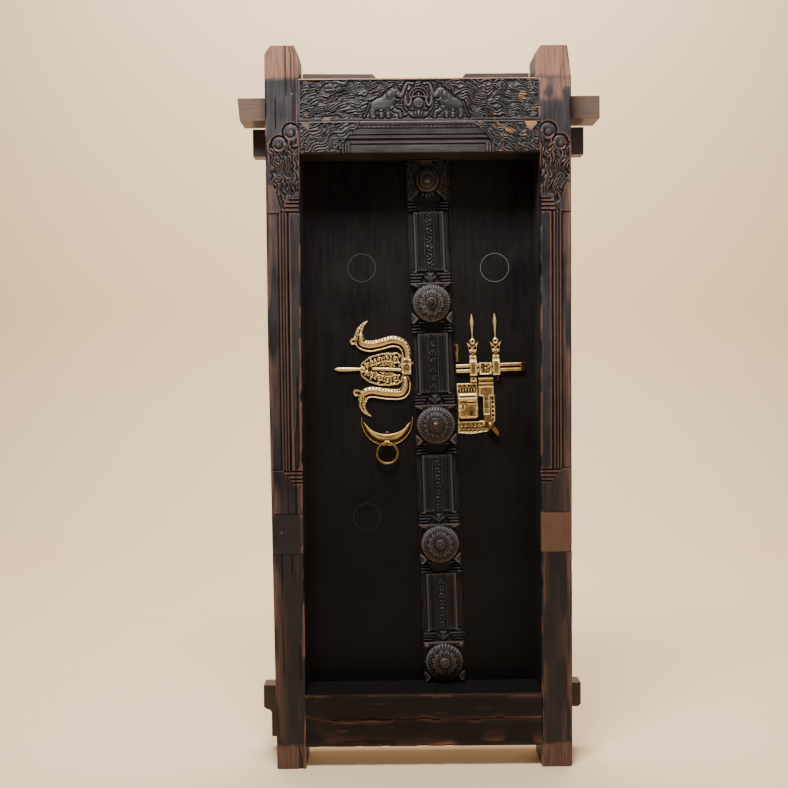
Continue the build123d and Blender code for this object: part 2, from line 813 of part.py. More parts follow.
def lace_chain(z0, z1):
    """The chain of small diamonds down the middle of the shaft."""
    count = int((z1 - z0) / lace_pitch)
    pitch = (z1 - z0) / count
    chain = []
    w = lace_w / 2 - 1
    h = pitch * 0.46
    for i in range(count):
        z = z0 + (i + 0.5) * pitch
        chain.append(slab([(strip_x, z - h), (strip_x + w, z), (strip_x, z + h), (strip_x - w, z)],
                          shaft_front - lace_t, shaft_front + 3))
    return chain


def lobed(r, dip, lobes):
    """A petalled outline, one point on each petal and one between two."""
    points = []
    for i in range(2 * lobes):
        angle = math.pi * i / lobes
        reach = r - dip * (i % 2)
        points.append((reach * math.cos(angle), reach * math.sin(angle)))
    return points


def tier(z, near, r, dip, lobes, rise, narrowing):
    """One tier of petals on a boss."""
    face = Plane.XZ.offset(-(front_y + near)) * make_face(Polyline(*lobed(r, dip, lobes), close=True))
    return Pos(strip_x, 0, z) * extrude(face, amount=rise, taper=narrowing)


def boss(index):
    """A square block with corner ears and hollow sides, and a petalled dome on it."""
    z = boss_z[index]
    half = block_w / 2
    near, far = block_front, strip_front
    bed = far - 3
    body = block(strip_x - half, strip_x + half, bed, far, z - half, z + half)
    top = slab([(strip_x - half, z + half), (strip_x + half, z + half), (strip_x + half, z + half - 6),
                (strip_x + half * 0.62, z + half * 0.55), (strip_x - half * 0.62, z + half * 0.55),
                (strip_x - half, z + half - 6)], near + 1, bed)
    ledge_bar = block(strip_x - half, strip_x + half, near, bed, z + half - 5, z + half)
    ears = []
    for side in (-1, 1):
        reach = side * half
        ears.append(slab([(strip_x + reach, z - half * 0.42), (strip_x + reach * 0.64, z - half * 0.76),
                          (strip_x + reach * 0.9, z - half), (strip_x + reach, z - half)], near + 1, bed))
        if index == len(boss_z) - 1:
            ears.append(slab([(strip_x + reach, z + half), (strip_x + reach, z - half * 0.9),
                              (strip_x + reach * 0.72, z - half * 0.84), (strip_x + reach * 0.3, z - half * 0.4),
                              (strip_x + reach * 0.3, z + half)], near + 5, bed))
    lobes = dome_lobes[index]
    drum = frustum(strip_x, z, dome_r - 4, bed, bed - near, dome_r - 4, 16)
    outer = tier(z, near, dome_r, 5, lobes, dome_t * 0.4, 40)
    inner = tier(z, near - dome_t * 0.4, dome_r * 0.72, 4, lobes, dome_t * 0.35, 45)
    crown = frustum(strip_x, z, dome_r * 0.52, near - dome_t * 0.75, dome_t * 0.25, dome_r * 0.44)
    body = body + [top, ledge_bar, drum, outer, inner, crown] + ears
    return leaned(body) - stud_hole(z)


def boss_stud(index):
    """The metal stud through boss, strip and leaf: a round head, a square shank and a rove at the back."""
    z = boss_z[index]
    x = strip_at(z)
    r = stud_head_r[index]
    seat = block_front - dome_t
    back = leaf_back + (ledge_t if z in ledge_z else 0)
    third = stud_head_t / 3
    head = frustum(x, z, r, seat, third, r * 0.86) + frustum(x, z, r * 0.6, seat - third, third, r * 0.5, 10)
    knob = frustum(x, z, r * 0.44, seat - 2 * third, third, r * 0.24, 8)
    shank = square_y(x, z, stud_half, seat - 1, back + rove_t)
    rove = square_y(x, z, rove_half, back, back + rove_t)
    clench = square_y(x, z, stud_half + 2, back + rove_t, back + 2 * rove_t)
    return head + knob + shank + rove + clench


def from_set(points):
    """Places given from the left set's centre, turned into the door's."""
    return [(set_x + point[0], set_z + point[1], *point[2:]) for point in points]


def filigree_outline():
    return from_set([(-143, 12), (-140, 19), (-116, 38), (-78, 48), (-30, 50), (-18, 42), (-12, 26),
                     (-12, -20), (-18, -40), (-31, -48), (-55, -51), (-87, -50), (-117, -41), (-139, -24),
                     (-144, -12)])


def filigree_plate():
    """The pierced leaf-shaped plate with a raised bar along its middle."""
    face_d = leaf_front - plate_t
    body = slab(filigree_outline(), face_d, leaf_front)
    right = set_x - 12
    half = filigree_w / 2
    holes = []
    for sz in (-1, 1):
        for u, v, a, b in ((0.22, 0.68, 15, 7), (0.40, 0.70, 12, 6), (0.57, 0.58, 11, 6),
                           (0.73, 0.40, 9, 5), (0.24, 0.34, 12, 6), (0.42, 0.36, 11, 5), (0.60, 0.27, 9, 4)):
            x = right - u * filigree_l
            z = set_z + sz * v * half
            tilt = sz * (18 if v < 0.5 else -14)
            turn = math.radians(tilt)
            rounds = [math.radians(k) for k in range(0, 360, 60)]
            spots = [(a * math.cos(k), b * math.sin(k)) for k in rounds]
            holes.append(slab([(x + p * math.cos(turn) - q * math.sin(turn),
                                z + p * math.sin(turn) + q * math.cos(turn)) for p, q in spots],
                              face_d - 1, leaf_front + 1))
    body = body - holes
    bar = block(right - filigree_l * 0.72, right - 12, face_d - 5, face_d + 1,
                set_z - filigree_bar_w / 2, set_z + filigree_bar_w / 2)
    return body + bar.fillet(2.0, bar.edges().filter_by(Axis.X).group_by(Axis.Y)[0])


def spear_tongue():
    """The spear-shaped tongue at the outer end of the plate, with its rivet eye."""
    x1 = set_x - 12 - filigree_l
    x0 = x1 - tongue_l
    eye_x = x1 + 5
    face_d = leaf_front - plate_t * 2
    half = tongue_w / 2
    upper = [(x0 + 20, half), (x1 - 8, half * 0.72), (x1 - 4, half * 0.9)]
    outline = [(x0, set_z)] + [(x, set_z + dz) for x, dz in upper] + [(x, set_z - dz) for x, dz in upper[::-1]]
    blade = slab(outline, face_d, leaf_front)
    eye = frustum(eye_x - 8, set_z, 8.5, leaf_front, leaf_front - face_d, 8.5, 10)
    dome = frustum(eye_x - 8, set_z, 4.5, face_d, 3.6, 2.4, 8)
    body = blade + eye + dome
    return body - slab(filigree_outline(), leaf_front - plate_t, leaf_front + 1)


def hasp_end():
    """The block that ends the left set beside the strip, with the rod to the strip."""
    x1 = set_x + 11
    x0 = x1 - hasp_end_w
    near = leaf_front - hasp_end_t
    top = set_z + hasp_end_h * 0.68
    low = top - hasp_end_h
    outline = [(x0, low + 6), (x0 + 8, low), (x1, low), (x1, top - 5), (x1 - 6, top), (x0, top)]
    body = slab(outline, near, leaf_front)
    body = body - block(x0 - 1, x0 + 12, leaf_front - plate_t, leaf_front + 1, low - 1, top + 1)
    rod_z = set_z + 17
    rod_end = strip_at(rod_z) - strip_w / 2 - 0.4
    rod = rod_x(x1 - 1, rod_end, leaf_front - 7, rod_z, 3.0)
    return body + rod


def serpent(points, crest, head):
    """A serpent arm: ridged body with a thin rim under it, a horn and a square hollow head."""
    points, crest = from_set(points), from_set(crest)
    hx, hz, size = from_set([head])[0]
    near = leaf_front - serpent_t
    body = ribbon(points, near + 7, leaf_front, per_span=2)
    upper = ribbon(points, near, near + 8, share=0.5, shift=0.14, per_span=2)
    lower = ribbon(points, near + 5, near + 8, share=0.14, shift=-0.42, per_span=2)
    horn = ribbon(crest, near + 3, leaf_front)
    outline = [(-1, 0.3), (-0.4, 1), (1.2, 0.7), (1.2, -0.7), (-0.4, -1), (-0.9, -0.4)]
    jaw = slab([(hx + size * dx, hz + size * dz) for dx, dz in outline], near + 5, leaf_front)
    jaw = jaw - square_y(hx - size * 0.1, hz, size * 0.3, near, leaf_front + 1)
    return body + upper + lower + horn + jaw


def upper_serpent():
    w = serpent_w
    points = [(-148, 100, w * 0.9), (-141, 78, w), (-116, 70, w), (-86, 74, w), (-46, 84, w),
              (-20, 78, w), (-7, 63, w * 0.9), (-3, 46, w * 0.8), (-3, 37, w * 0.7)]
    crest = [(-150, 94, 26), (-146, 116, 21), (-135, 134, 12), (-121, 146, 4)]
    return serpent(points, crest, (-165, 84, 10))


def lower_serpent():
    w = serpent_w
    points = [(-138, -96, w * 0.85), (-132, -78, w), (-109, -70, w), (-66, -76, w), (-25, -77, w),
              (-10, -68, w * 0.95), (-4, -50, w * 0.8), (-5, -34, w * 0.7)]
    crest = [(-137, -88, 26), (-139, -112, 21), (-130, -130, 13), (-113, -143, 4)]
    return serpent(points, crest, (-156, -72, 11))


def crescent_handle():
    near = leaf_front - crescent_t
    outer = rod_y(crescent_x, crescent_z, crescent_r, near, leaf_front)
    inner = rod_y(crescent_x, crescent_inner_z, crescent_inner_r, near - 20, leaf_front + 1)
    body = outer - inner
    ridge = rod_y(crescent_x, crescent_z + 7, crescent_r - 6, near - 4, near + 1) - inner
    low = crescent_inner_z - crescent_inner_r
    peak = slab([(crescent_x - 16, low - 3), (crescent_x - 6, low + 3), (crescent_x, low + 8),
                 (crescent_x + 6, low + 3), (crescent_x + 16, low - 3)], near - 4, leaf_front)
    wide = crescent_r * 1.3
    top_cut = block(crescent_x - wide, crescent_x + wide, near - 10, leaf_front + 1, crescent_z + 12,
                    crescent_z + 2 * wide)
    return (body + ridge - top_cut) + peak


def ring_centre():
    """The pull ring's centre and the depth of its plane."""
    near = leaf_front - crescent_t - 4
    top = crescent_z - crescent_r + 10
    return top - ring_r, near - ring_wire_r - staple_clear


def ring_staple():
    """The eye on the crescent that the ring hangs in."""
    z, d = ring_centre()
    top = z + ring_r
    hole = ring_wire_r + staple_clear
    outer = hole + staple_wall
    near = leaf_front - crescent_t - 4
    x0, x1 = crescent_x - staple_w / 2, crescent_x + staple_w / 2
    body = rod_x(x0, x1, d, top, outer) + block(x0, x1, d, near, top - outer, top + outer)
    body = body - rod_x(x0 - 1, x1 + 1, d, top, hole)
    return body - crescent_handle()


def pull_ring():
    """The ring, its wire worked in eight flat facets."""
    z, d = ring_centre()
    turns = [math.radians(45 * k + 22.5) for k in range(8)]
    wire = [(ring_r + ring_wire_r * math.cos(a), d + ring_wire_r * math.sin(a)) for a in turns]
    return turned(crescent_x, z, wire)


def left_rivets():
    """Domed brass rivets that fix the left set."""
    offsets = ((-128, 10), (-54, -41), (-26, 12))
    places = [(set_x + dx, set_z + dz, plate_t) for dx, dz in offsets]
    rivets = []
    for x, z, seat in places:
        face_d = leaf_front - seat
        rivets.append(frustum(x, z, 3.6, face_d, 2.2, 2.0, 8))
    return Compound(children=rivets)


def keeper_x(offset):
    """A place on the right set, counted from the meeting line."""
    return strip_x + meeting_off + meeting_gap / 2 + offset


def bolt_depths():
    far = leaf_front - keeper_wall + bolt_clear - 0.8
    return far - bolt_t, far


def tunnel(x0, x1):
    near, far = bolt_depths()
    return block(x0, x1, near - bolt_clear, far + bolt_clear, bolt_z - bolt_h / 2 - bolt_clear,
                 bolt_z + bolt_h / 2 + bolt_clear)


def keeper(offset):
    """A keeper: a loop round the bolt, a pierced ear plate over it and a spear tip."""
    x = keeper_x(offset)
    near, _ = bolt_depths()
    half = keeper_w / 2
    z0 = bolt_z - bolt_h / 2 - keeper_rim
    z1 = bolt_z + bolt_h / 2 + keeper_rim
    loop = block(x - half, x + half, near - bolt_clear - keeper_wall, leaf_front, z0, z1)
    loop = loop - tunnel(x - half - 1, x + half + 1)
    face_d = leaf_front - plate_t
    e = ear_w / 2
    top = z1 + ear_h
    side = [(half, z1 - 1), (half * 0.9, z1 + 10), (half, z1 + 24), (half * 1.1, z1 + 40), (e, top),
            (e * 0.5, top - 8)]
    outline = [(x + dx, z) for dx, z in side] + [(x, top + 2)] + [(x - dx, z) for dx, z in side[::-1]]
    ear = slab(outline, face_d, leaf_front)
    holes = []
    for sx in (-1, 1):
        for dz in (20, 38):
            cx, cz = x + sx * 5.8, z1 + dz
            holes.append(slab([(cx + sx * 3.6, cz + 4.5), (cx + sx * 3.6, cz - 4.5), (cx - sx * 3.6, cz)],
                              face_d - 1, leaf_front + 1))
    ear = ear - holes
    eye = frustum(x, top, 8.5, leaf_front, plate_t + 2, 8.5, 10)
    w = spear_w / 2
    side = [(3, top), (2.2, top + 20), (w, top + spear_l * 0.72)]
    outline = [(x + dx, z) for dx, z in side] + [(x, top + spear_l)] + [(x - dx, z) for dx, z in side[::-1]]
    spear = slab(outline, face_d - 1, leaf_front)
    body = loop + ear + eye + spear
    return leaned(body - square_y(x, top, 2.4, face_d - 3, face_d + 1.5))


def keeper_plate():
    """The square chased plate that bridges the bolt between the keepers."""
    x = keeper_x(keeper_plate_x)
    near, _ = bolt_depths()
    half = keeper_plate_w / 2
    z0 = bolt_z - bolt_h / 2 - keeper_rim * 0.7
    z1 = bolt_z + bolt_h / 2 + keeper_rim * 0.4
    face_d = near - bolt_clear - keeper_wall
    body = block(x - half, x + half, face_d, leaf_front, z0, z1)
    body = body - block(x - half + 3, x + half - 3, face_d - 1, face_d + 1.2, z0 + 3, z1 - 3)
    petals = [slab(leaf_outline(x, (z0 + z1) / 2, 13, 9, angle), face_d, face_d + keeper_wall - 1)
              for angle in (20, 110, 200, 290)]
    body = body + petals
    return leaned(body - tunnel(x - half - 1, x + half + 1))


def lock_bolt():
    """The sliding bar: two rails with a groove between them and a cap at its right end."""
    x0 = keeper_x(1.0)
    x1 = x0 + bolt_l
    near, far = bolt_depths()
    z0, z1 = bolt_z - bolt_h / 2, bolt_z + bolt_h / 2
    body = block(x0, x1, near, far, z0, z1)
    groove = block(x0 - 1, x1 - 13, near - 1, near + bolt_groove_t, bolt_z - bolt_groove_h / 2,
                   bolt_z + bolt_groove_h / 2)
    return leaned(body - groove)


def side_ear():
    """The narrow ear beside the strip, over the bolt's left end."""
    x = keeper_x(5.5)
    z0 = bolt_z + bolt_h / 2 + 8
    face_d = leaf_front - plate_t
    return leaned(slab([(x - 2.5, z0), (x + 4, z0), (x + 3, z0 + 20), (x + 5, z0 + 36), (x + 4, z0 + 54),
                        (x - 4, z0 + 56), (x - 1, z0 + 40), (x - 4, z0 + 24)], face_d, leaf_front))


def lock_frame():
    """The pierced brass border round the lock case."""
    x0 = keeper_x(1.0)
    x1 = x0 + frame_w
    z0, z1 = frame_z, frame_z + frame_h
    near = leaf_front - frame_plate_t
    low = z0 + lower_border_h
    crest_z = z1 - crest_h
    side_x = x1 - side_strip_w
    back_z = lock_z + 4
    back_x = keeper_x(lock_off) + lock_w - 4
    outline = [(x0, z0 + 4), (x0 + 40, z0), (x1 - 24, z0 + 6), (x1, z0 + 40), (x1, crest_z - 6),
               (side_x, crest_z - 6), (side_x, low + 6), (side_x - 12, low), (x0 + 5, low),
               (x0 + 5, back_z), (back_x, back_z), (back_x, crest_z), (x0 + 64, crest_z), (x0 + 64, z1),
               (x0, z1)]
    body = slab(outline, near, leaf_front)
    holes = []
    for i in range(5):
        holes.append(diamond(x0 + 9 + i * 12, z1 - 9, 4, 5, near))
        holes.append(diamond(x0 + 9 + i * 12, z1 - 22, 3, 5, near))
    for i in range(7):
        holes.append(diamond(x0 + 12 + i * 12, z0 + 15, 4, 4.5, near))
    for i in range(5):
        holes.append(diamond(x1 - side_strip_w / 2, low + 14 + i * 13, 3.6, 4.8, near))
    return leaned(body - holes)


def diamond(x, z, w, h, near):
    return slab([(x - w, z), (x, z - h), (x + w, z), (x, z + h)], near - 1, leaf_front + 1)


def lock_case():
    """The domed lock case with its keyhole and slots."""
    x0 = keeper_x(lock_off)
    x1 = x0 + lock_w
    z0, z1 = lock_z, lock_z + lock_h
    near = leaf_front - lock_t
    body = slab([(x0, z0 + 6), (x0 + 6, z0), (x1 - 6, z0), (x1, z0 + 6), (x1, z1 - 12), (x1 + 1.5, z1 - 6),
                 (x1 - 4, z1), (x0 + 4, z1), (x0 - 1, z1 - 6), (x0, z1 - 12)], near, leaf_front - frame_plate_t)
    body = chamfer(body.edges().group_by(Axis.Y)[0], 4.0)
    keyhole_x, keyhole_z = x1 - 22, z0 + 21
    cuts = [rod_y(keyhole_x, keyhole_z, 4.6, near - 1, near + 15),
            slab([(keyhole_x - 1.8, keyhole_z), (keyhole_x + 1.8, keyhole_z), (keyhole_x + 3.2, keyhole_z - 12),
                  (keyhole_x - 3.2, keyhole_z - 12)], near - 1, near + 15),
            block(x1 - 36, x1 - 8, near - 1, near + 6, z1 - 31, z1 - 27),
            block(x0 + 14, x0 + 18, near - 1, near + 6, z0 + 28, z0 + 46)]
    body = body - cuts
    ridge = moulding(x0, x1 + 1, near - 3, near + 3, z1 - 24, z1 - 14)
    return leaned(body + ridge)


def lock_pin():
    """The pin that stands in the keyhole."""
    x0 = keeper_x(lock_off)
    keyhole_x, keyhole_z = x0 + lock_w - 22, lock_z + 21
    near = leaf_front - lock_t
    return leaned(rod_y(keyhole_x, keyhole_z + 0.6, 1.9, near + 1, near + 15))


def bolt_staple():
    """The small staple under the left keeper."""
    x = keeper_x(53)
    z0 = strip_mid_z + bolt_staple_rise
    z1 = z0 + bolt_staple_h
    near = leaf_front - 12
    body = block(x - 10, x + 10, near, leaf_front, z0, z1)
    return leaned(body - rod_y(x, z0 + 7, 4.2, near - 1, near + 6))


def hasp_hinge():
    """The fixed half of the hasp's hinge, with the ribbed bar over it."""
    x = keeper_x(hasp_x)
    half = hasp_top_w / 2 - 1
    axis_d = leaf_front - hasp_axis_off
    plate = block(x - half, x + half, leaf_front - plate_t, leaf_front, hasp_axis_z - 6, hasp_axis_z + 21)
    bar = rod_x(x - half, x + half, axis_d + 2.5, hasp_axis_z + 13.2, 7.0)
    bar = bar + block(x - half, x + half, axis_d + 2.5, leaf_front, hasp_axis_z + 8, hasp_axis_z + 19)
    knuckles = []
    for x0, x1 in ((x - half, x - hasp_strap_w / 2 - 0.3), (x + hasp_strap_w / 2 + 0.3, x + half)):
        knuckles.append(rod_x(x0, x1, axis_d, hasp_axis_z, knuckle_r))
        knuckles.append(block(x0, x1, axis_d, leaf_front - 1, hasp_axis_z - knuckle_r, hasp_axis_z + knuckle_r))
    body = plate + bar + knuckles
    return leaned(body - rod_x(x - half - 1, x + half + 1, axis_d, hasp_axis_z, hasp_pin_r)
                  - rod_x(x - hasp_strap_w / 2 - 0.3, x + hasp_strap_w / 2 + 0.3, axis_d, hasp_axis_z,
                          knuckle_r + 0.6))


def hasp_pin():
    x = keeper_x(hasp_x)
    half = hasp_top_w / 2 - 1
    return leaned(rod_x(x - half, x + half, leaf_front - hasp_axis_off, hasp_axis_z, hasp_pin_r))


def hasp():
    """The hanging hasp: knuckle, T-shaped plate, strap, and the ball and tail that lift it."""
    x = keeper_x(hasp_x)
    axis_d = leaf_front - hasp_axis_off
    near, far = axis_d - hasp_t / 2, axis_d + hasp_t / 2
    top = hasp_axis_z - knuckle_r - 1.6
    half_top = hasp_top_w / 2
    half = hasp_strap_w / 2
    low = top - hasp_top_h
    end = hasp_axis_z - hasp_strap_end
    plate = slab([(x - half_top, top), (x + half_top, top), (x + half_top, low), (x + half, low),
                  (x + half, end), (x - half, end), (x - half, low), (x - half_top, low)], near, far)
    neck = block(x - half, x + half, near, far, top - 1, hasp_axis_z)
    knuckle = rod_x(x - half, x + half, axis_d, hasp_axis_z, knuckle_r)
    foot = slab([(x - half, end + 2), (x + half, end + 2), (x + half - 2, end - 20), (x - half + 4, end - 20)],
                near - 4, far)
    ball_x, ball_z = x + 10, end - 31
    ball_d = axis_d - 7
    ball = frustum(ball_x, ball_z, ball_r, ball_d, ball_r * 0.6, ball_r * 0.7, 8)
    ball = ball + frustum(ball_x, ball_z, ball_r * 0.7, ball_d - ball_r * 0.6, ball_r * 0.3, ball_r * 0.3, 8)
    ball = ball + frustum(ball_x, ball_z, ball_r, ball_d + 5, 5, ball_r, 8)
    tail = slab([(ball_x - 5, ball_z - 4), (ball_x + 6, ball_z + 6), (ball_x + 24, ball_z - 22),
                 (ball_x + 22, ball_z - 34), (ball_x + 14, ball_z - 26)], axis_d - 9, axis_d - 3)
    body = plate + neck + knuckle + foot + ball + tail
    return leaned(body - rod_x(x - half - 1, x + half + 1, axis_d, hasp_axis_z, hasp_pin_r + pivot_clear))


def hook():
    """The thin curled hook beside the rollers."""
    near, far = leaf_front - 5, leaf_front
    x = keeper_x(hook_x)
    z = strip_mid_z + hook_rise
    return leaned(scroll(x, z, hook_r, 3.4, 80, -1, near, far, turns=0.8))


def right_nails():
    """The nails of the right set's border."""
    x0 = keeper_x(1.0)
    places = ((x0 + 58, frame_z + frame_h - 15), (x0 + frame_w - 7.5, frame_z + lower_border_h + 6),
              (x0 + 4.5, frame_z + 30))
    nails = []
    for x, z in places:
        face_d = leaf_front - frame_plate_t
        nails.append(leaned(frustum(x, z, 3.2, face_d, 2.0, 1.8, 8)))
    return Compound(children=nails)


pieces = {
    "left_post": post(True),
    "right_post": post(False),
    "frieze_board": frieze_board(),
    "lintel": lintel(),
    "threshold": threshold(),
    "sill_board": sill_board(),
    "cross_beam": cross_beam(),
    "top_board": top_board(),
    "head_beam": head_beam(),
    "sill_beam": sill_beam(),
    "left_patch": patch(True),
    "right_patch": patch(False),
    "frame_pegs": frame_pegs(),
    "patch_nails": patch_nails(),
    "left_panel": panel(True),
    "right_panel": panel(False),
    "right_ledge_nails": ledge_nails(),
    "centre_strip": centre_strip(),
    "filigree_plate": filigree_plate(),
    "spear_tongue": spear_tongue(),
    "hasp_end": hasp_end(),
    "upper_serpent": upper_serpent(),
    "lower_serpent": lower_serpent(),
    "crescent_handle": crescent_handle(),
    "ring_staple": ring_staple(),
    "pull_ring": pull_ring(),
    "left_rivets": left_rivets(),
    "left_keeper": keeper(left_keeper_x),
    "right_keeper": keeper(right_keeper_x),
    "keeper_plate": keeper_plate(),
    "lock_bolt": lock_bolt(),
    "side_ear": side_ear(),
    "lock_frame": lock_frame(),
    "lock_case": lock_case(),
    "lock_pin": lock_pin(),
    "bolt_staple": bolt_staple(),
    "hasp_hinge": hasp_hinge(),
    "hasp_pin": hasp_pin(),
    "hasp": hasp(),
    "hook": hook(),
    "right_nails": right_nails(),
}
for number, height in enumerate(ledge_z, 1):
    pieces[f"left_ledge_{number}"] = ledge(True, height)
    pieces[f"right_ledge_{number}"] = ledge(False, height)
for number in range(len(boss_z)):
    pieces[f"boss_{number + 1}"] = boss(number)
    pieces[f"boss_stud_{number + 1}"] = boss_stud(number)

os.makedirs("parts", exist_ok=True)
for name, piece in pieces.items():
    export_step(piece, f"parts/{name}.step")
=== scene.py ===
import bpy
import math
import numpy as np
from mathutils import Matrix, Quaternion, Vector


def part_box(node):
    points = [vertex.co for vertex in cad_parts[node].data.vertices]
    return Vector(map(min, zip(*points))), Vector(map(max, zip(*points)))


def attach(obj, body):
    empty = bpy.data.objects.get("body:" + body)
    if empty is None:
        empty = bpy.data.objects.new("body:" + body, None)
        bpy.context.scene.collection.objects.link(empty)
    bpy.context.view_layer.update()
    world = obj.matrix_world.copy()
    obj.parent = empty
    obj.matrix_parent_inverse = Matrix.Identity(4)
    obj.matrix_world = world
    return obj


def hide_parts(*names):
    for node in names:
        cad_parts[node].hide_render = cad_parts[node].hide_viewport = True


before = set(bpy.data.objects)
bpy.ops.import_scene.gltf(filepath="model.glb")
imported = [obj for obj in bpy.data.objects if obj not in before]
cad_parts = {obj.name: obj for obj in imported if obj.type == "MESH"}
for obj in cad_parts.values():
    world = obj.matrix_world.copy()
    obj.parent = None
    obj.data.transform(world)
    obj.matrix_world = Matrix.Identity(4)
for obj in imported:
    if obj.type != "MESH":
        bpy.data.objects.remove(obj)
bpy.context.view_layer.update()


# The two posts. Each is one heavy timber with a chamfered horn, a carved head with two
# roundels, cap and base bands and a moulded pilaster cut into its front. The wood is
# near-black with grey bloom, and rubbed to a reddish brown on its edges and horns.
MM = 0.001
POST_STEP = 1.5
POST_PLAIN_STEP = 6.0
CARVING_DEEP = 5.0
FACE_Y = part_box("left_post")[0].y
POST_BACK = (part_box("left_post")[1].y - FACE_Y) / MM
PATCH_LOW, PATCH_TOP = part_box("left_patch")[0].z / MM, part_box("left_patch")[1].z / MM
PATCH_DEEP = 25.0
POST_IN = 350.0
LEFT_FOOT = 85.5
TAPER_TOP = 1290
SHAFT_LOW, SHAFT_TOP = 887, 1640
GROOVE_AT, REEDS_AT, REEDS_END, FILLET_END, REED_PITCH = 32.5, 37, 62, 66, 8.5
BAR_PITCH, BAR_HALF = 11.5, 2.2
HORN_LOW, CHAMFER_LOW, RIGHT_TOP, POST_TOP = 2025, 2096, 2116, 2120
WEAR_DEEP = 4.0
SHARP_WOOD = 38


def noise(x, z, size_x, size_z, seed):
    """Smooth values from 0 to 1 over points in millimetres, the same on every run."""
    count = 64
    lattice = np.random.RandomState(seed).rand(count, count)
    u, v = x / size_x, z / size_z
    i, j = np.floor(u).astype(int), np.floor(v).astype(int)
    s, t = u - i, v - j
    s, t = s * s * (3 - 2 * s), t * t * (3 - 2 * t)
    i0, i1, j0, j1 = i % count, (i + 1) % count, j % count, (j + 1) % count
    low = lattice[j0, i0] * (1 - s) + lattice[j0, i1] * s
    high = lattice[j1, i0] * (1 - s) + lattice[j1, i1] * s
    return low * (1 - t) + high * t


def ramp(values, low, high):
    """Rises smoothly from 0 at low to 1 at high."""
    t = np.clip((values - low) / (high - low), 0, 1)
    return t * t * (3 - 2 * t)


def within(x, z, points):
    """Which points of a grid lie inside a closed outline."""
    inside = np.zeros(x.shape, bool)
    for (x0, z0), (x1, z1) in zip(points, points[1:] + points[:1]):
        if z0 != z1:
            crosses = (z0 > z) != (z1 > z)
            inside ^= crosses & (x < (x1 - x0) * (z - z0) / (z1 - z0) + x0)
    return inside


def smooth_path(points, spacing=1.0):
    """Close points on a smooth line through a few x, z, half-width triples."""
    ends = np.array([points[0], *points, points[-1]], float)
    line = []
    for a, b, c, d in zip(ends, ends[1:], ends[2:], ends[3:]):
        count = max(2, int(math.hypot(*(c - b)[:2]) / spacing))
        t = (np.arange(count) / count)[:, None]
        line.append(0.5 * (2 * b + (c - a) * t + (2 * a - 5 * b + 4 * c - d) * t ** 2
                           + (3 * b - a - 3 * c + d) * t ** 3))
    return np.concatenate([*line, [ends[-1]]])


def beside(path, shift, share):
    """A line that runs beside another, shifted and narrowed by shares of its half-width."""
    along = np.gradient(path[:, :2], axis=0)
    along /= np.linalg.norm(along, axis=1)[:, None] + 1e-9
    moved = path.copy()
    moved[:, 0] -= along[:, 1] * path[:, 2] * shift
    moved[:, 1] += along[:, 0] * path[:, 2] * shift
    moved[:, 2] = np.maximum(path[:, 2] * share, 0.3)
    return moved


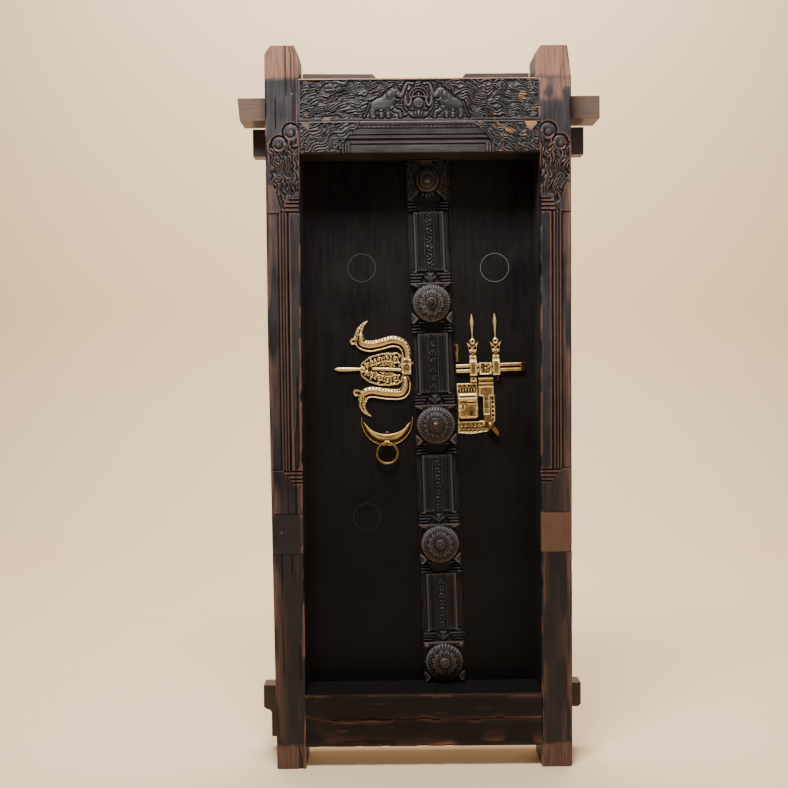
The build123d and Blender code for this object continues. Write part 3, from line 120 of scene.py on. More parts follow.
class Relief:
    """A carved or cast surface: a height in millimetres at each point of a grid."""

    def __init__(self, xs, zs, height=0.0):
        self.xs, self.zs = np.asarray(xs, float), np.asarray(zs, float)
        self.x, self.z = np.meshgrid(self.xs, self.zs)
        self.h = np.full(self.x.shape, float(height))
        self.inside = np.full(self.x.shape, -9.0)

    def window(self, x, z, reach):
        i0, i1 = np.searchsorted(self.xs, (x - reach, x + reach))
        j0, j1 = np.searchsorted(self.zs, (z - reach, z + reach))
        part = (slice(j0, j1), slice(i0, i1))
        return part, np.hypot(self.x[part] - x, self.z[part] - z)

    def stroke(self, path, height, base=0.0, flat=0.0):
        """Raises a rounded ridge along a line, with a flat top if asked."""
        full = max(w for _, _, w in path)
        for x, z, w in path:
            part, away = self.window(x, z, w + 3)
            share = np.clip((1 - away / w) / (1 - flat), 0, 1)
            rise = base + height * min(1, 0.35 + 0.65 * w / full) * np.sqrt(1 - (1 - share) ** 2)
            self.h[part] = np.maximum(self.h[part], np.where(away < w, rise, -99))
            self.inside[part] = np.maximum(self.inside[part], w - away)

    def ridge(self, points, height, base=0.0, flat=0.0):
        """Raises a ridge along a smooth line through a few x, z, half-width triples."""
        self.stroke(smooth_path(points), height, base, flat)

    def cut(self, path, depth):
        """Cuts a V groove along a line."""
        deep = np.zeros_like(self.h)
        for x, z, w in path:
            part, away = self.window(x, z, w)
            deep[part] = np.maximum(deep[part], depth * np.clip(1.3 * (1 - away / w), 0, 1))
        self.h -= deep

    def blob(self, x, z, a, b, turn, height, base=0.0, flat=1):
        """Raises a rounded oval, with a flatter top where asked."""
        part, _ = self.window(x, z, max(a, b) + 3)
        c, s = math.cos(math.radians(turn)), math.sin(math.radians(turn))
        dx, dz = self.x[part] - x, self.z[part] - z
        q = ((dx * c + dz * s) / a) ** 2 + ((dz * c - dx * s) / b) ** 2
        rise = base + height * np.sqrt(np.clip(1 - q ** flat, 0, 1))
        self.h[part] = np.maximum(self.h[part], np.where(q < 1, rise, -99))
        self.inside[part] = np.maximum(self.inside[part], (1 - np.sqrt(q)) * min(a, b))

    def leaf(self, x, z, length, width, angle, height, base=0.0, curl=0.9):
        """A curled leaf with a vein, growing from a point."""
        count = max(6, int(length / 1.1))
        path = []
        for k in range(count + 1):
            t = k / count
            turn = math.radians(angle) + curl * (t - 0.3)
            swell = max(0.35, width / 2 * math.sin(math.pi * min(1, 0.1 + 0.9 * t)) ** 0.7)
            path.append((x, z, swell))
            x += math.cos(turn) * length / count
            z += math.sin(turn) * length / count
        self.stroke(path, height, base)
        self.cut([(a, b, 0.9) for a, b, _ in path[1:-2]], height * 0.4)

    def scroll(self, x, z, r, width, start, hand, height, base=0.0, turns=1.4, leaves=5):
        """A vine that winds in to a bud, with leaves outside it."""
        count = int(turns * r * 5)
        start, winding = math.radians(start), hand * 2 * math.pi
        path = []
        for k in range(count + 1):
            t = k / count
            turn = start + winding * t * turns
            reach = r * (1 - 0.8 * t)
            path.append((x + reach * math.cos(turn), z + reach * math.sin(turn), width / 2 * (1 - 0.3 * t)))
        self.stroke(path, height, base)
        self.blob(x, z, width * 0.62, width * 0.62, 0, height * 1.05, base)
        for k in range(leaves):
            turn = start + winding * (k + 0.5) / leaves * min(turns, 1)
            self.leaf(x + r * math.cos(turn), z + r * math.sin(turn), r * 0.75, width * 1.1,
                      math.degrees(turn) + hand * 60, height * 0.9, base, curl=hand * 1.2)

    def scrolls(self, places, width, height, base, leaves, side=1):
        """Carves a set of scrolls, mirrored on the left side where asked."""
        for x, z, r, start, hand in places:
            start = start if side > 0 else 180 - start
            self.scroll(side * x, z, r, width, start, side * hand, height, base, leaves=leaves)

    def flames(self, ground, turn, pitch, height, base, seed):
        """Carves ground into wavy strokes that run one way, like flames."""
        c, s = math.cos(math.radians(turn)), math.sin(math.radians(turn))
        along, across = self.x * c + self.z * s, self.z * c - self.x * s
        sway = 22 * noise(along, across, 31, 40, seed) + 10 * noise(along, across, 13, 19, seed + 1)
        stroke = np.abs(np.sin((across + sway) / pitch * math.pi)) ** 0.75
        breaks = ramp(noise(along, across + sway, 15, 6, seed + 2), 0.2, 0.5)
        level = base + height * stroke * breaks * (0.65 + 0.35 * noise(along, across, 24, 9, seed + 3))
        self.h[ground] = level[ground]


def spread(*stretches):
    """Places along a line: each stretch is where it ends and the step inside it."""
    places = [stretches[0][0]]
    for end, step in stretches[1:]:
        count = max(1, round((end - places[-1]) / step))
        places += list(np.linspace(places[-1], end, count + 1)[1:])
    return np.array(places)


def hollows(h, reach=3):
    """How far each point stands over its neighbourhood, from -1 in a hollow to 1 on a ridge."""
    soft = h.copy()
    for _ in range(2):
        for axis in (0, 1):
            soft = sum(np.roll(soft, k, axis) for k in range(-reach, reach + 1)) / (2 * reach + 1)
    return np.clip((h - soft) / 1.1, -1, 1)


def arris(relief, deep, seed, chips=1.0):
    """Rounds and chips the long edges at the sides of a timber."""
    for edge in (0, -1):
        away = np.abs(relief.x - relief.xs[edge])
        along = noise(relief.z, relief.z * 0 + 40 * edge, 9, 30, seed + edge)
        long_chips = noise(relief.z, relief.z * 0 + 90 * edge, 46, 30, seed + 7 + edge)
        bite = deep * (0.6 + 0.8 * along) + chips * 4 * ramp(long_chips, 0.62, 0.85)
        relief.h -= bite * np.exp(-away / (1.3 + 2 * ramp(long_chips, 0.6, 0.9)))


def solid(name, points, faces, material, sharp=None, **layers):
    """A mesh object at the origin, shaded smooth, with a value for the shader at each point in each layer."""
    mesh = bpy.data.meshes.new(name)
    mesh.from_pydata(points, [], faces)
    for label, values in layers.items():
        layer = mesh.attributes.new(label, "FLOAT", "POINT")
        layer.data.foreach_set("value", np.asarray(values, np.float32))
    mesh.polygons.foreach_set("use_smooth", [True] * len(mesh.polygons))
    if sharp:
        mesh.set_sharp_from_angle(angle=math.radians(sharp))
    mesh.materials.append(material)
    piece = bpy.data.objects.new(name, mesh)
    bpy.context.scene.collection.objects.link(piece)
    return piece


def grid_piece(name, x, y, z, back, wear, bare, material):
    """A closed block whose front follows a grid of points and whose sides run square to the back."""
    rows, cols = x.shape
    front = np.stack([x, y, z], -1).reshape(-1, 3)
    deepest = max(y[:, 0].max(), y[:, -1].max())
    rings = [np.array([[x[j, i], depth, z[j, i]] for j in range(rows) for i in (0, cols - 1)])
             for depth in (min(deepest + WEAR_DEEP, (deepest + back) / 2), back)]
    points = np.concatenate([front, *rings]) * MM
    points[:, 1] += FACE_Y
    corner = (np.arange(rows - 1)[:, None] * cols + np.arange(cols - 1)).reshape(-1)
    faces = np.stack([corner, corner + 1, corner + cols + 1, corner + cols], -1).tolist()
    mid, base = rows * cols, rows * (cols + 2)
    for j in range(rows - 1):
        left, right = mid + 2 * j, mid + 2 * j + 1
        far_left, far_right = base + 2 * j, base + 2 * j + 1
        faces += [[j * cols, (j + 1) * cols, left + 2, left],
                  [(j + 1) * cols - 1, right, right + 2, (j + 2) * cols - 1],
                  [left, left + 2, far_left + 2, far_left],
                  [right, far_right, far_right + 2, right + 2],
                  [far_left, far_left + 2, far_right + 2, far_right]]
    faces.append(list(range(cols - 1, -1, -1)) + [mid, base, base + 1, mid + 1])
    top, last = (rows - 1) * cols, 2 * rows - 2
    faces.append(list(range(top, top + cols)) + [mid + last + 1, base + last + 1, base + last, mid + last])
    sides = np.zeros(4 * rows)
    return solid(name, points.tolist(), faces, material, SHARP_WOOD,
                 wear=np.append(wear, sides), bare=np.append(bare, sides))


class Shader:
    """Adds nodes to one shader tree. A plain value or another node's socket can feed each input."""

    def __init__(self, tree):
        self.tree = tree

    def feed(self, node, inputs):
        for key, value in inputs.items():
            if isinstance(value, bpy.types.NodeSocket):
                self.tree.links.new(value, node.inputs[key])
            else:
                node.inputs[key].default_value = value

    def add(self, kind, inputs, result=0, **settings):
        node = self.tree.nodes.new("ShaderNode" + kind)
        for name, value in settings.items():
            setattr(node, name, value)
        self.feed(node, inputs)
        return node.outputs[result]

    def place(self):
        return self.add("TexCoord", {}, "Object")

    def layer(self, name):
        return self.add("Attribute", {}, "Fac", attribute_name=name)

    def noise(self, vector, scale, detail, rough=0.6):
        inputs = {"Vector": vector, "Scale": scale, "Detail": detail, "Roughness": rough}
        return self.add("TexNoise", inputs, "Fac")

    def math(self, operation, a, b, clamp=False):
        return self.add("Math", {0: a, 1: b}, operation=operation, use_clamp=clamp)

    def scaled(self, value, factor, plus, clamp=False):
        return self.add("Math", {0: value, 1: factor, 2: plus}, operation="MULTIPLY_ADD", use_clamp=clamp)

    def step(self, value, low, high, kind="SMOOTHSTEP"):
        inputs = {"Value": value, "From Min": low, "From Max": high}
        return self.add("MapRange", inputs, "Result", interpolation_type=kind)

    def mix(self, share, a, b, kind="MIX"):
        return self.add("Mix", {"Factor": share, 6: a, 7: b}, 2, data_type="RGBA", blend_type=kind)


def shader_group(name, inputs, outputs):
    """An empty shader group: its tools, its input sockets and its output node."""
    group = bpy.data.node_groups.new(name, "ShaderNodeTree")
    for way, sockets in (("INPUT", inputs), ("OUTPUT", outputs)):
        for label, kind in sockets.items():
            group.interface.new_socket(label, in_out=way, socket_type="NodeSocket" + kind)
    return Shader(group), group.nodes.new("NodeGroupInput").outputs, group.nodes.new("NodeGroupOutput")


FINISH = {"Colour": "Color", "Roughness": "Float", "Height": "Float"}
# The wood darkens to this tint where its wear-and-shade value is low: dirt in the carved hollows, and painted
# shade in the deep or shadowed places that pieces mark.
DIRT_AND_SHADE_TINT = (0.18, 0.17, 0.17, 1)
CLEAN_UNSHADED_TINT = (1, 1, 1, 1)


def wood_group():
    """Old hardwood: grain, grey bloom that grows towards the top as painted light from above, dirt and
    painted shade in the hollows, rubbed edges and bare places.
    """
    shader, given, out = shader_group("old_hardwood", {
        "Heart": "Color", "Bloom": "Color", "Rubbed": "Color", "Bare wood": "Color", "Grain": "Vector",
        "Rub": "Float", "Bloom amount": "Float"}, FINISH)
    place, wear = shader.place(), shader.layer("wear")
    stretched = shader.add("Mapping", {"Vector": place, "Scale": given["Grain"]})
    grain = shader.noise(stretched, 1.0, 8.0, 0.65)
    streak = shader.noise(stretched, 0.22, 4.0)
    cloud = shader.noise(place, 5.0, 5.0)
    speck = shader.noise(place, 90.0, 4.0)
    worn = shader.scaled(speck, 0.5, shader.scaled(streak, 0.9, wear))
    rub = shader.step(shader.math("ADD", worn, given["Rub"]), 1.2, 2.0)
    cloudy = shader.step(shader.scaled(grain, 0.6, cloud), 0.55, 1.0)
    height = shader.add("SeparateXYZ", {0: place}, "Z")
    # Painted light: the grey bloom grows towards the top, standing in for the stronger light that falls on
    # the head of the frame.
    painted_top_light = shader.scaled(shader.step(height, 0.5, 1.85), 0.8, 0.2)
    bloom = shader.math("MULTIPLY", shader.math("MULTIPLY", cloudy, given["Bloom amount"], True), painted_top_light)
    colour = shader.mix(bloom, given["Heart"], given["Bloom"])
    colour = shader.mix(shader.math("MULTIPLY", rub, 0.75), colour, given["Rubbed"])
    bare = shader.math("MULTIPLY", shader.layer("bare"), shader.step(grain, 0.15, 0.5), True)
    bare_tone = shader.mix(shader.step(grain, 0.35, 0.7), given["Rubbed"], given["Bare wood"])
    colour = shader.mix(bare, colour, bare_tone)
    # Dirt and painted shade: darker where the wear-and-shade value is low.
    dirt_and_shade = shader.mix(shader.step(wear, -0.75, 0.05), DIRT_AND_SHADE_TINT, CLEAN_UNSHADED_TINT)
    shader.feed(out, {"Colour": shader.mix(1.0, colour, dirt_and_shade, "MULTIPLY"),
                      "Roughness": shader.scaled(bare, 0.25, shader.scaled(grain, 0.3, 0.36), True),
                      "Height": shader.scaled(speck, 0.35, grain)})
    return shader.tree


def coat(name, group, inputs, bump, bump_deep, constants):
    """A material whose colour, roughness and fine relief come from a shared group."""
    material = bpy.data.materials.new(name)
    material.use_nodes = True
    shader = Shader(material.node_tree)
    colour = shader.add("Group", inputs, "Colour", node_tree=group)
    made = colour.node.outputs
    normal = shader.add("Bump", {"Height": made["Height"], "Strength": bump, "Distance": bump_deep})
    shader.feed(material.node_tree.nodes["Principled BSDF"],
                {"Base Color": colour, "Roughness": made["Roughness"], "Normal": normal, **constants})
    return material


OLD_HARDWOOD = wood_group()
WOOD_BUMP_DEEP = 0.0012


def timber(name, grain, heart=(0.0075, 0.0055, 0.0055, 1), bloom=(0.055, 0.047, 0.05, 1),
           rubbed=(0.105, 0.066, 0.055, 1), bare=(0.25, 0.15, 0.105, 1), rub=0.0, bloom_amount=0.7,
           bump=0.35, shine=0.35):
    """A wood finish with its grain along one direction."""
    inputs = {"Heart": heart, "Bloom": bloom, "Rubbed": rubbed, "Bare wood": bare, "Grain": grain,
              "Rub": rub, "Bloom amount": bloom_amount}
    return coat(name, OLD_HARDWOOD, inputs, bump, WOOD_BUMP_DEEP, {"Specular IOR Level": shine})


UPRIGHT = (150.0, 150.0, 9.0)
ACROSS = (9.0, 150.0, 150.0)
POST_WOOD = timber("post_wood", UPRIGHT, rubbed=(0.15, 0.068, 0.048, 1), bare=(0.25, 0.135, 0.09, 1),
                   shine=0.25)


HEAD_GROUND = ((2, 1692), (38, 1690), (46, 1642), (52, 1636), (66, 1690), (84, 1740), (86, 1838), (36, 1868),
               (2, 1850))
HEAD_SCROLLS = ((62, 1792, 12, 190, 1), (20, 1806, 10, 0, -1), (60, 1738, 11, 170, -1), (22, 1730, 10, 30, 1))
ROUNDELS = ((23, 1872, 25), (58, 1838, 23))


def post_head(relief, seed):
    """The foliage and the two roundels on a post's head, counted from the post's inner edge."""
    u, z = relief.x, relief.z
    flame_seed = np.random.RandomState(seed).randint(99)
    relief.flames(within(u, z, HEAD_GROUND), 84, 8.2, CARVING_DEEP + 0.6, -CARVING_DEEP, flame_seed)
    relief.scrolls(HEAD_SCROLLS, 5.5, CARVING_DEEP, -CARVING_DEEP, 3)
    for cu, cz, r in ROUNDELS:
        part, away = relief.window(cu, cz, r + 4)
        angle = np.arctan2(z[part] - cz, u[part] - cu)
        rim = ramp(np.cos(angle - 1.2), -0.55, -0.1)
        dome = -0.4 - 3.4 * (away / r) ** 3 * rim
        level = np.where(away < r, np.maximum(dome, relief.h[part] * (1 - rim) + dome * rim), relief.h[part])
        level = level - 4.8 * np.exp(-((away - r) / 1.7) ** 2) * rim
        curl = np.hypot(u[part] - cu - 2, z[part] - cz + 3) - 0.5 * r
        level = level - 3.4 * np.exp(-(curl / 2.3) ** 2) * ramp(np.cos(angle + 2.0), -0.3, 0.3)
        relief.h[part] = level
        relief.blob(cu + 2, cz - 3, 4.6, 4.2, 0, 2.6, -1.8)
        relief.cut([(cu - 8 + k, cz + 5 + 0.12 * (k - 6) ** 2, 1.3) for k in range(12)], 2.2)


def post_relief(width, seed):
    """The whole front of a post over its inner-edge distance and its height."""
    zs = spread((0, 1), (PATCH_LOW, POST_PLAIN_STEP), (PATCH_LOW + 0.2, 1),
                (PATCH_TOP - 0.2, POST_PLAIN_STEP), (PATCH_TOP, 1), (830, POST_PLAIN_STEP), (895, POST_STEP),
                (1625, POST_PLAIN_STEP), (1912, POST_STEP), (HORN_LOW - 1, POST_PLAIN_STEP), (HORN_LOW, 1),
                (POST_TOP, 3))
    relief = Relief(spread((0, 1), (width, POST_STEP)), zs)
    u, z = relief.x, relief.z
    shaft = (z > SHAFT_LOW) & (z < SHAFT_TOP)
    relief.h[shaft & (u > GROOVE_AT) & (u < REEDS_AT)] -= 7
    reeds = shaft & (u >= REEDS_AT) & (u < REEDS_END)
    relief.h[reeds] -= 3.2 * np.abs(np.sin((u[reeds] - REEDS_AT) / REED_PITCH * math.pi - math.pi / 2)) ** 3
    relief.h[shaft & (u >= REEDS_END) & (u < FILLET_END)] -= 5
    relief.h[shaft & (u >= FILLET_END)] -= 2.5
    for low, way in ((SHAFT_TOP, 1), (SHAFT_LOW, -1)):
        for k in range(4):
            level = low + way * (k * BAR_PITCH + 2)
            relief.h[(np.abs(z - level) < BAR_HALF) & (u < 58 - 9 * k)] -= 4.5
    post_head(relief, seed)
    relief.h += 0.5 * (noise(u, z, 26, 240, seed) - 0.5) - 0.35 * noise(u, z, 2.6, 70, seed + 1)
    cracks = noise(u, z * 0 + 5, 5.2, 1000, seed + 2) * ramp(noise(u, z, 12, 160, seed + 3), 0.5, 0.75)
    relief.h -= 2.2 * ramp(cracks, 0.62, 0.8)
    arris(relief, 1.6, seed + 5)
    relief.h[(z > PATCH_LOW + 0.1) & (z < PATCH_TOP - 0.1)] = -PATCH_DEEP
    return relief


for side, seed in ((-1, 11), (1, 23)):
    node = "left_post" if side < 0 else "right_post"
    width, foot = (97.5, LEFT_FOOT) if side < 0 else (90.0, 90.0)
    relief = post_relief(width, seed)
    u, z = relief.x, relief.z
    outer = foot + (width - foot) * np.clip(z / TAPER_TOP, 0, 1)
    horn = np.clip((z - HORN_LOW) / (POST_TOP - HORN_LOW), 0, 1)
    corner = np.clip((z - CHAMFER_LOW) / (POST_TOP - CHAMFER_LOW), 0, 1)
    if side < 0:
        outer, inner, level = outer - 17 * corner, 11 * corner, z
    else:
        outer, inner = outer - 11 * horn, np.where(z > HORN_LOW - 0.5, -13 + 17 * corner, 0.0)
        level = np.minimum(z, RIGHT_TOP)
    x = side * (POST_IN + inner + (outer - inner) * u / width)
    wear = hollows(np.where(relief.h < 1 - PATCH_DEEP, 0, relief.h))
    edge = np.minimum(u, width - u)
    wear = wear + 1.3 * np.exp(-edge / 2.4) * ramp(noise(u * 0, z, 8, 60, seed + 9), 0.3, 0.6)
    outer_rub = np.exp(-(width - u) / 16) * ramp(noise(u, z, 16, 130, seed + 10), 0.35, 0.75) * (z < 1720)
    bare = np.maximum(ramp(z, 2018, 2030 + 12 * noise(u, z, 14, 14, seed + 12)), 0.75 * outer_rub)
    bare = np.maximum(bare, 0.5 * ramp(72 - z + 8 * noise(u, z, 12, 12, seed + 13), 0, 10))
    inner_rub = np.exp(-u / 7) * ramp(noise(u, z, 10, 90, seed + 14), 0.5, 0.75) * (z < 880)
    bare = np.maximum(bare, inner_rub)
    if side > 0:
        patch = ramp(noise(u, z, 26, 30, 77), 0.35, 0.6) * ramp(z, 1950, 1975) * ramp(2035 - z, 0, 20)
        bare = np.maximum(bare, 0.8 * patch)
    order = slice(None, None, side)
    piece = grid_piece(node + "_carved", x[:, order], -relief.h[:, order], level[:, order], POST_BACK,
                       wear[:, order], bare[:, order], POST_WOOD)
    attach(piece, "frame")
    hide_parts(node)


# The repair blocks let into the front of the posts, and the small iron nails that hold them
# and the boards. The right block is a younger, browner wood.
PATCH_WIDE, PATCH_STEP, PATCH_GAP = 90.0, 2.5, 0.6
NAIL_PLACES = ((-370, 1980), (367, 2000), (367, 1964), (-414, 704), (393, 693))
NAIL_PROFILE = ((3.4, 2.0), (4.2, 1.6), (3.4, 0.6), (1.6, 0.1), (0.5, 0.0))
SHARP_NAIL = 40


def dress(material, *names):
    """Gives construction pieces their finish."""
    for name in names:
        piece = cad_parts[name]
        for slot in piece.material_slots:
            slot.material = material


def turned_mesh(name, places, profile, material, sides=14):
    """Round heads on front-to-back axes: a profile of radius and depth, closed at both ends."""
    points, faces = [], []
    for cx, cz in places:
        base = len(points)
        for r, depth in profile:
            for k in range(sides):
                angle = 2 * math.pi * k / sides
                points.append(((cx + r * math.cos(angle)) * MM, FACE_Y + depth * MM,
                               (cz + r * math.sin(angle)) * MM))
        for ring in range(len(profile) - 1):
            for k in range(sides):
                a, b = base + ring * sides + k, base + ring * sides + (k + 1) % sides
                faces.append([a, b, b + sides, a + sides])
        last = base + (len(profile) - 1) * sides
        faces += [list(range(base + sides - 1, base - 1, -1)), list(range(last, last + sides))]
    return solid(name, points, faces, material, SHARP_NAIL)


def plain_coat(name, colour, metallic, rough):
    """A plain finish of one colour."""
    material = bpy.data.materials.new(name)
    material.use_nodes = True
    Shader(material.node_tree).feed(material.node_tree.nodes["Principled BSDF"],
                                    {"Base Color": colour, "Metallic": metallic, "Roughness": rough})
    return material


PATCH_WOODS = {
    "left_patch": timber("left_patch_wood", UPRIGHT, rub=0.15, bloom_amount=0.3),
    "right_patch": timber("right_patch_wood", UPRIGHT, heart=(0.085, 0.042, 0.024, 1),
                          bloom=(0.22, 0.11, 0.055, 1), rub=0.1, bloom_amount=0.8),
}
for side, node in ((-1, "left_patch"), (1, "right_patch")):
    relief = Relief(spread((0, 1), (PATCH_WIDE, PATCH_STEP)),
                    spread((PATCH_LOW + PATCH_GAP, 1), (PATCH_TOP - PATCH_GAP, PATCH_STEP)))
    u, z = relief.x, relief.z
    relief.h -= 0.8 * noise(u, z, 6, 90, 61) + 0.6
    relief.h -= 1.4 * np.exp(-np.minimum(z - PATCH_LOW, PATCH_TOP - z) / 1.5)
    arris(relief, 1.8, 62)
    outer = LEFT_FOOT + 12 * z / TAPER_TOP if side < 0 else PATCH_WIDE
    x = side * (POST_IN + outer * u / PATCH_WIDE)
    wear = hollows(relief.h) + 0.8 * np.exp(-np.minimum(u, PATCH_WIDE - u) / 3)
    order = slice(None, None, side)
    piece = grid_piece(node + "_block", x[:, order], -relief.h[:, order], z, PATCH_DEEP, wear[:, order],
                       0 * u, PATCH_WOODS[node])
    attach(piece, "frame")
    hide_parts(node)

IRON = plain_coat("old_iron", (0.10, 0.08, 0.075, 1), 0.8, 0.5)
nails = turned_mesh("nail_heads", NAIL_PLACES, NAIL_PROFILE, IRON)
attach(nails, "frame")
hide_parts("patch_nails")


# The frieze board between the posts, one board carved in relief: two elephants facing a crowned
# figure under an arch, in a field of flame-like foliage. Its top edge is worn to bare wood.
FRIEZE_LOW, FRIEZE_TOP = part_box("frieze_board")[0].z / MM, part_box("frieze_board")[1].z / MM
FRIEZE_BACK = (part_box("frieze_board")[1].y - FACE_Y) / MM
FRIEZE_STEP = 1.3
GROUND = -5.5
FIGURE_BED = -6.4
FIGURE_X, FACE_Z, CROWN_Z = -2.0, 1954.0, 1973
BOARD_WOOD = timber("board_wood", ACROSS, rubbed=(0.085, 0.064, 0.058, 1), bare=(0.42, 0.19, 0.08, 1))

ELEPHANT_BODY = (
    ((-129, 1947, 14), (-115, 1951, 18), (-100, 1954, 20), (-88, 1962, 20)),
    ((-96, 1962, 17), (-84, 1974, 17), (-76, 1983, 15), (-69, 1986, 12), (-61, 1980, 9)),
    ((-62, 1979, 8), (-53, 1975, 7), (-47, 1984, 6), (-42, 1998, 5), (-35, 2010, 4), (-27, 2011, 3.4)),
    ((-143, 1956, 2.6), (-148, 1940, 2.2), (-154, 1925, 2), (-161, 1914, 2.8)),
    ((-72, 1966, 3.4), (-64, 1961, 2.8), (-56, 1964, 1.6)),
)
ELEPHANT_LEGS = (
    ((-134, 1936, 8), (-136, 1922, 7), (-134, 1914, 7.5)),
    ((-111, 1930, 6), (-110, 1914, 6)),
    ((-91, 1930, 6), (-90, 1914, 6)),
    ((-80, 1940, 8), (-67, 1931, 5.5), (-57, 1928, 5), (-54, 1914, 5)),
)
ELEPHANT_BELLY = ((-124, 1929), (-104, 1929), (-82, 1933), (-70, 1941))
FIGURE_ARM = ((38, 1970, 4), (36, 1953, 5), (29, 1946, 5), (23, 1956, 4.4), (22, 1969, 3.4))
FIGURE_SASH = ((34, 1984, 2.6), (40, 1962, 2.4), (41, 1946, 2.4), (33, 1932, 3))
FRIEZE_SCROLLS = ((-326, 2001, 12, 60, 1), (-296, 2000, 10, 120, -1), (-330, 1962, 11, 10, 1),
                  (-250, 1996, 10, 30, 1), (324, 2002, 12, 110, -1), (320, 1930, 12, 170, -1),
                  (232, 1998, 10, 60, 1), (272, 1926, 10, 300, -1))


def facing_x(x, facing):
    """Mirrors a place for the elephant that faces the other way."""
    return x if facing > 0 else -0.93 * x - 5


def elephant(relief, facing):
    """One elephant with a raised trunk and short legs."""
    for parts, height in ((ELEPHANT_LEGS, 3.6), (ELEPHANT_BODY, 5.4)):
        for points in parts:
            path = smooth_path([(facing_x(x, facing), z, w) for x, z, w in points])
            relief.stroke(path, height, FIGURE_BED, flat=0.12)
    relief.cut(smooth_path([(facing_x(x, facing), z, 2.6) for x, z in ELEPHANT_BELLY]), 3.6)
    ear_x, ear_z = facing_x(-86, facing), 1976
    relief.blob(ear_x, ear_z, 8.5, 14, -20 * facing, 6.4, FIGURE_BED + 0.2)
    relief.cut([(ear_x + 9.5 * math.cos(a / 9), ear_z + 15 * math.sin(a / 9), 1.6)
                for a in range(10, 50)], 2.2)
    relief.blob(facing_x(-66, facing), 1986, 2.2, 2.0, 0, 7.2, FIGURE_BED + 0.2)
    relief.scroll(facing_x(-70, facing), 2001, 6.5, 4.0, 200, facing, 5.2, FIGURE_BED, turns=1.1, leaves=0)


def calm_face(relief, x, z, r):
    """A plain round face on common proportions: eyes halfway, nose and mouth below."""
    relief.blob(x, z, r, r * 1.06, 0, 6.0, FIGURE_BED - 0.2, flat=2)
    relief.blob(x, z - r * 0.14, r * 0.13, r * 0.3, 0, 7.0, FIGURE_BED)
    for side in (-1, 1):
        relief.cut([(x + side * r * t, z + r * 0.02 - r * 0.5 * (t - 0.4) ** 2, 1.5)
                    for t in np.linspace(0.2, 0.6, 7)], 1.6)
        relief.cut([(x + side * r * t, z + r * (0.34 - 2.2 * (t - 0.38) ** 2), 1.1)
                    for t in np.linspace(0.14, 0.66, 9)], 0.9)
    relief.cut([(x + r * t, z - r * (0.52 - 0.8 * t * t), 1.3) for t in np.linspace(-0.3, 0.3, 9)], 1.4)


def crowned_figure(relief, x):
    """The figure: face, arched crown, two bent arms, the pots over it and the lotus under it."""
    for r in (26, 18):
        relief.stroke([(x + r * math.cos(a), CROWN_Z + r * 0.95 * math.sin(a), 2.7)
                       for a in np.linspace(-0.2, math.pi + 0.2, 50)], 5.6, FIGURE_BED)
    relief.stroke([(x + k, CROWN_Z - k * k * 0.01, 2.6) for k in range(-16, 17)], 6.0, FIGURE_BED)
    relief.blob(x, CROWN_Z + 6, 4.2, 5.2, 0, 6.6, FIGURE_BED)
    for side in (-1, 1):
        relief.blob(x + side * 18, 2009, 7.5, 4.6, 0, 5.8, FIGURE_BED)
        for points, height in ((FIGURE_ARM, 5.6), (FIGURE_SASH, 4.6)):
            relief.ridge([(x + side * dx, z, w) for dx, z, w in points], height, FIGURE_BED)
        relief.leaf(x + side * 12, 1914, 24, 11, 90 - side * 52, 5.2, FIGURE_BED, curl=side * 0.6)
    for k in range(-2, 3):
        relief.leaf(x + k * 7, 1912, 24 - abs(k) * 2, 8.5, 90 - k * 9, 5.6, FIGURE_BED, curl=0.0)
    calm_face(relief, x, FACE_Z, 15.5)


frieze = Relief(spread((-POST_IN, 1), (POST_IN, FRIEZE_STEP)),
                spread((FRIEZE_LOW, 1), (FRIEZE_TOP, FRIEZE_STEP)))
x, z = frieze.x, frieze.z
ground = (z > FRIEZE_LOW + 8) & (z < FRIEZE_TOP - 4) & (np.abs(x) < POST_IN - 5)
frieze.flames(ground & (x < 0), 14, 7.4, 5.2, GROUND, 5)
frieze.flames(ground & (x >= 0), -12, 7.4, 5.2, GROUND, 105)
frieze.scrolls(FRIEZE_SCROLLS, 5.0, 5.0, GROUND, 3)
figures = Relief(frieze.xs, frieze.zs, -99)
elephant(figures, 1)
elephant(figures, -1)
crowned_figure(figures, FIGURE_X)
near = ramp(figures.inside, -5.5, -1.0) * (z > FRIEZE_LOW + 6)
frieze.h = frieze.h * (1 - near) + np.minimum(frieze.h, FIGURE_BED - 0.8) * near
frieze.h = np.where(figures.inside > 0, np.maximum(figures.h, FIGURE_BED - 0.2), frieze.h)
frieze.h += 0.35 * (noise(x, z, 200, 22, 31) - 0.5) - 0.3 * noise(x, z, 60, 2.6, 32)
frieze.h -= 1.6 * np.exp(-(z - FRIEZE_LOW) / 1.3)
frieze.h -= 2.2 * ramp(z, FRIEZE_TOP - 3, FRIEZE_TOP)
bare_low = FRIEZE_TOP - (4 + 3 * noise(x, z * 0, 50, 10, 33) + 3 * ramp(x, 40, 200))
spots = ramp(noise(x, z, 30, 17, 34), 0.72, 0.86) * ((x < -240) & (z < 1960) | (x > 215) & (z < 1985))
bare = np.maximum(ramp(z, bare_low, bare_low + 1.5), 0.7 * spots)
piece = grid_piece("frieze_carved", x, -frieze.h, z, FRIEZE_BACK, hollows(frieze.h), bare, BOARD_WOOD)
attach(piece, "frame")
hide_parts("frieze_board")


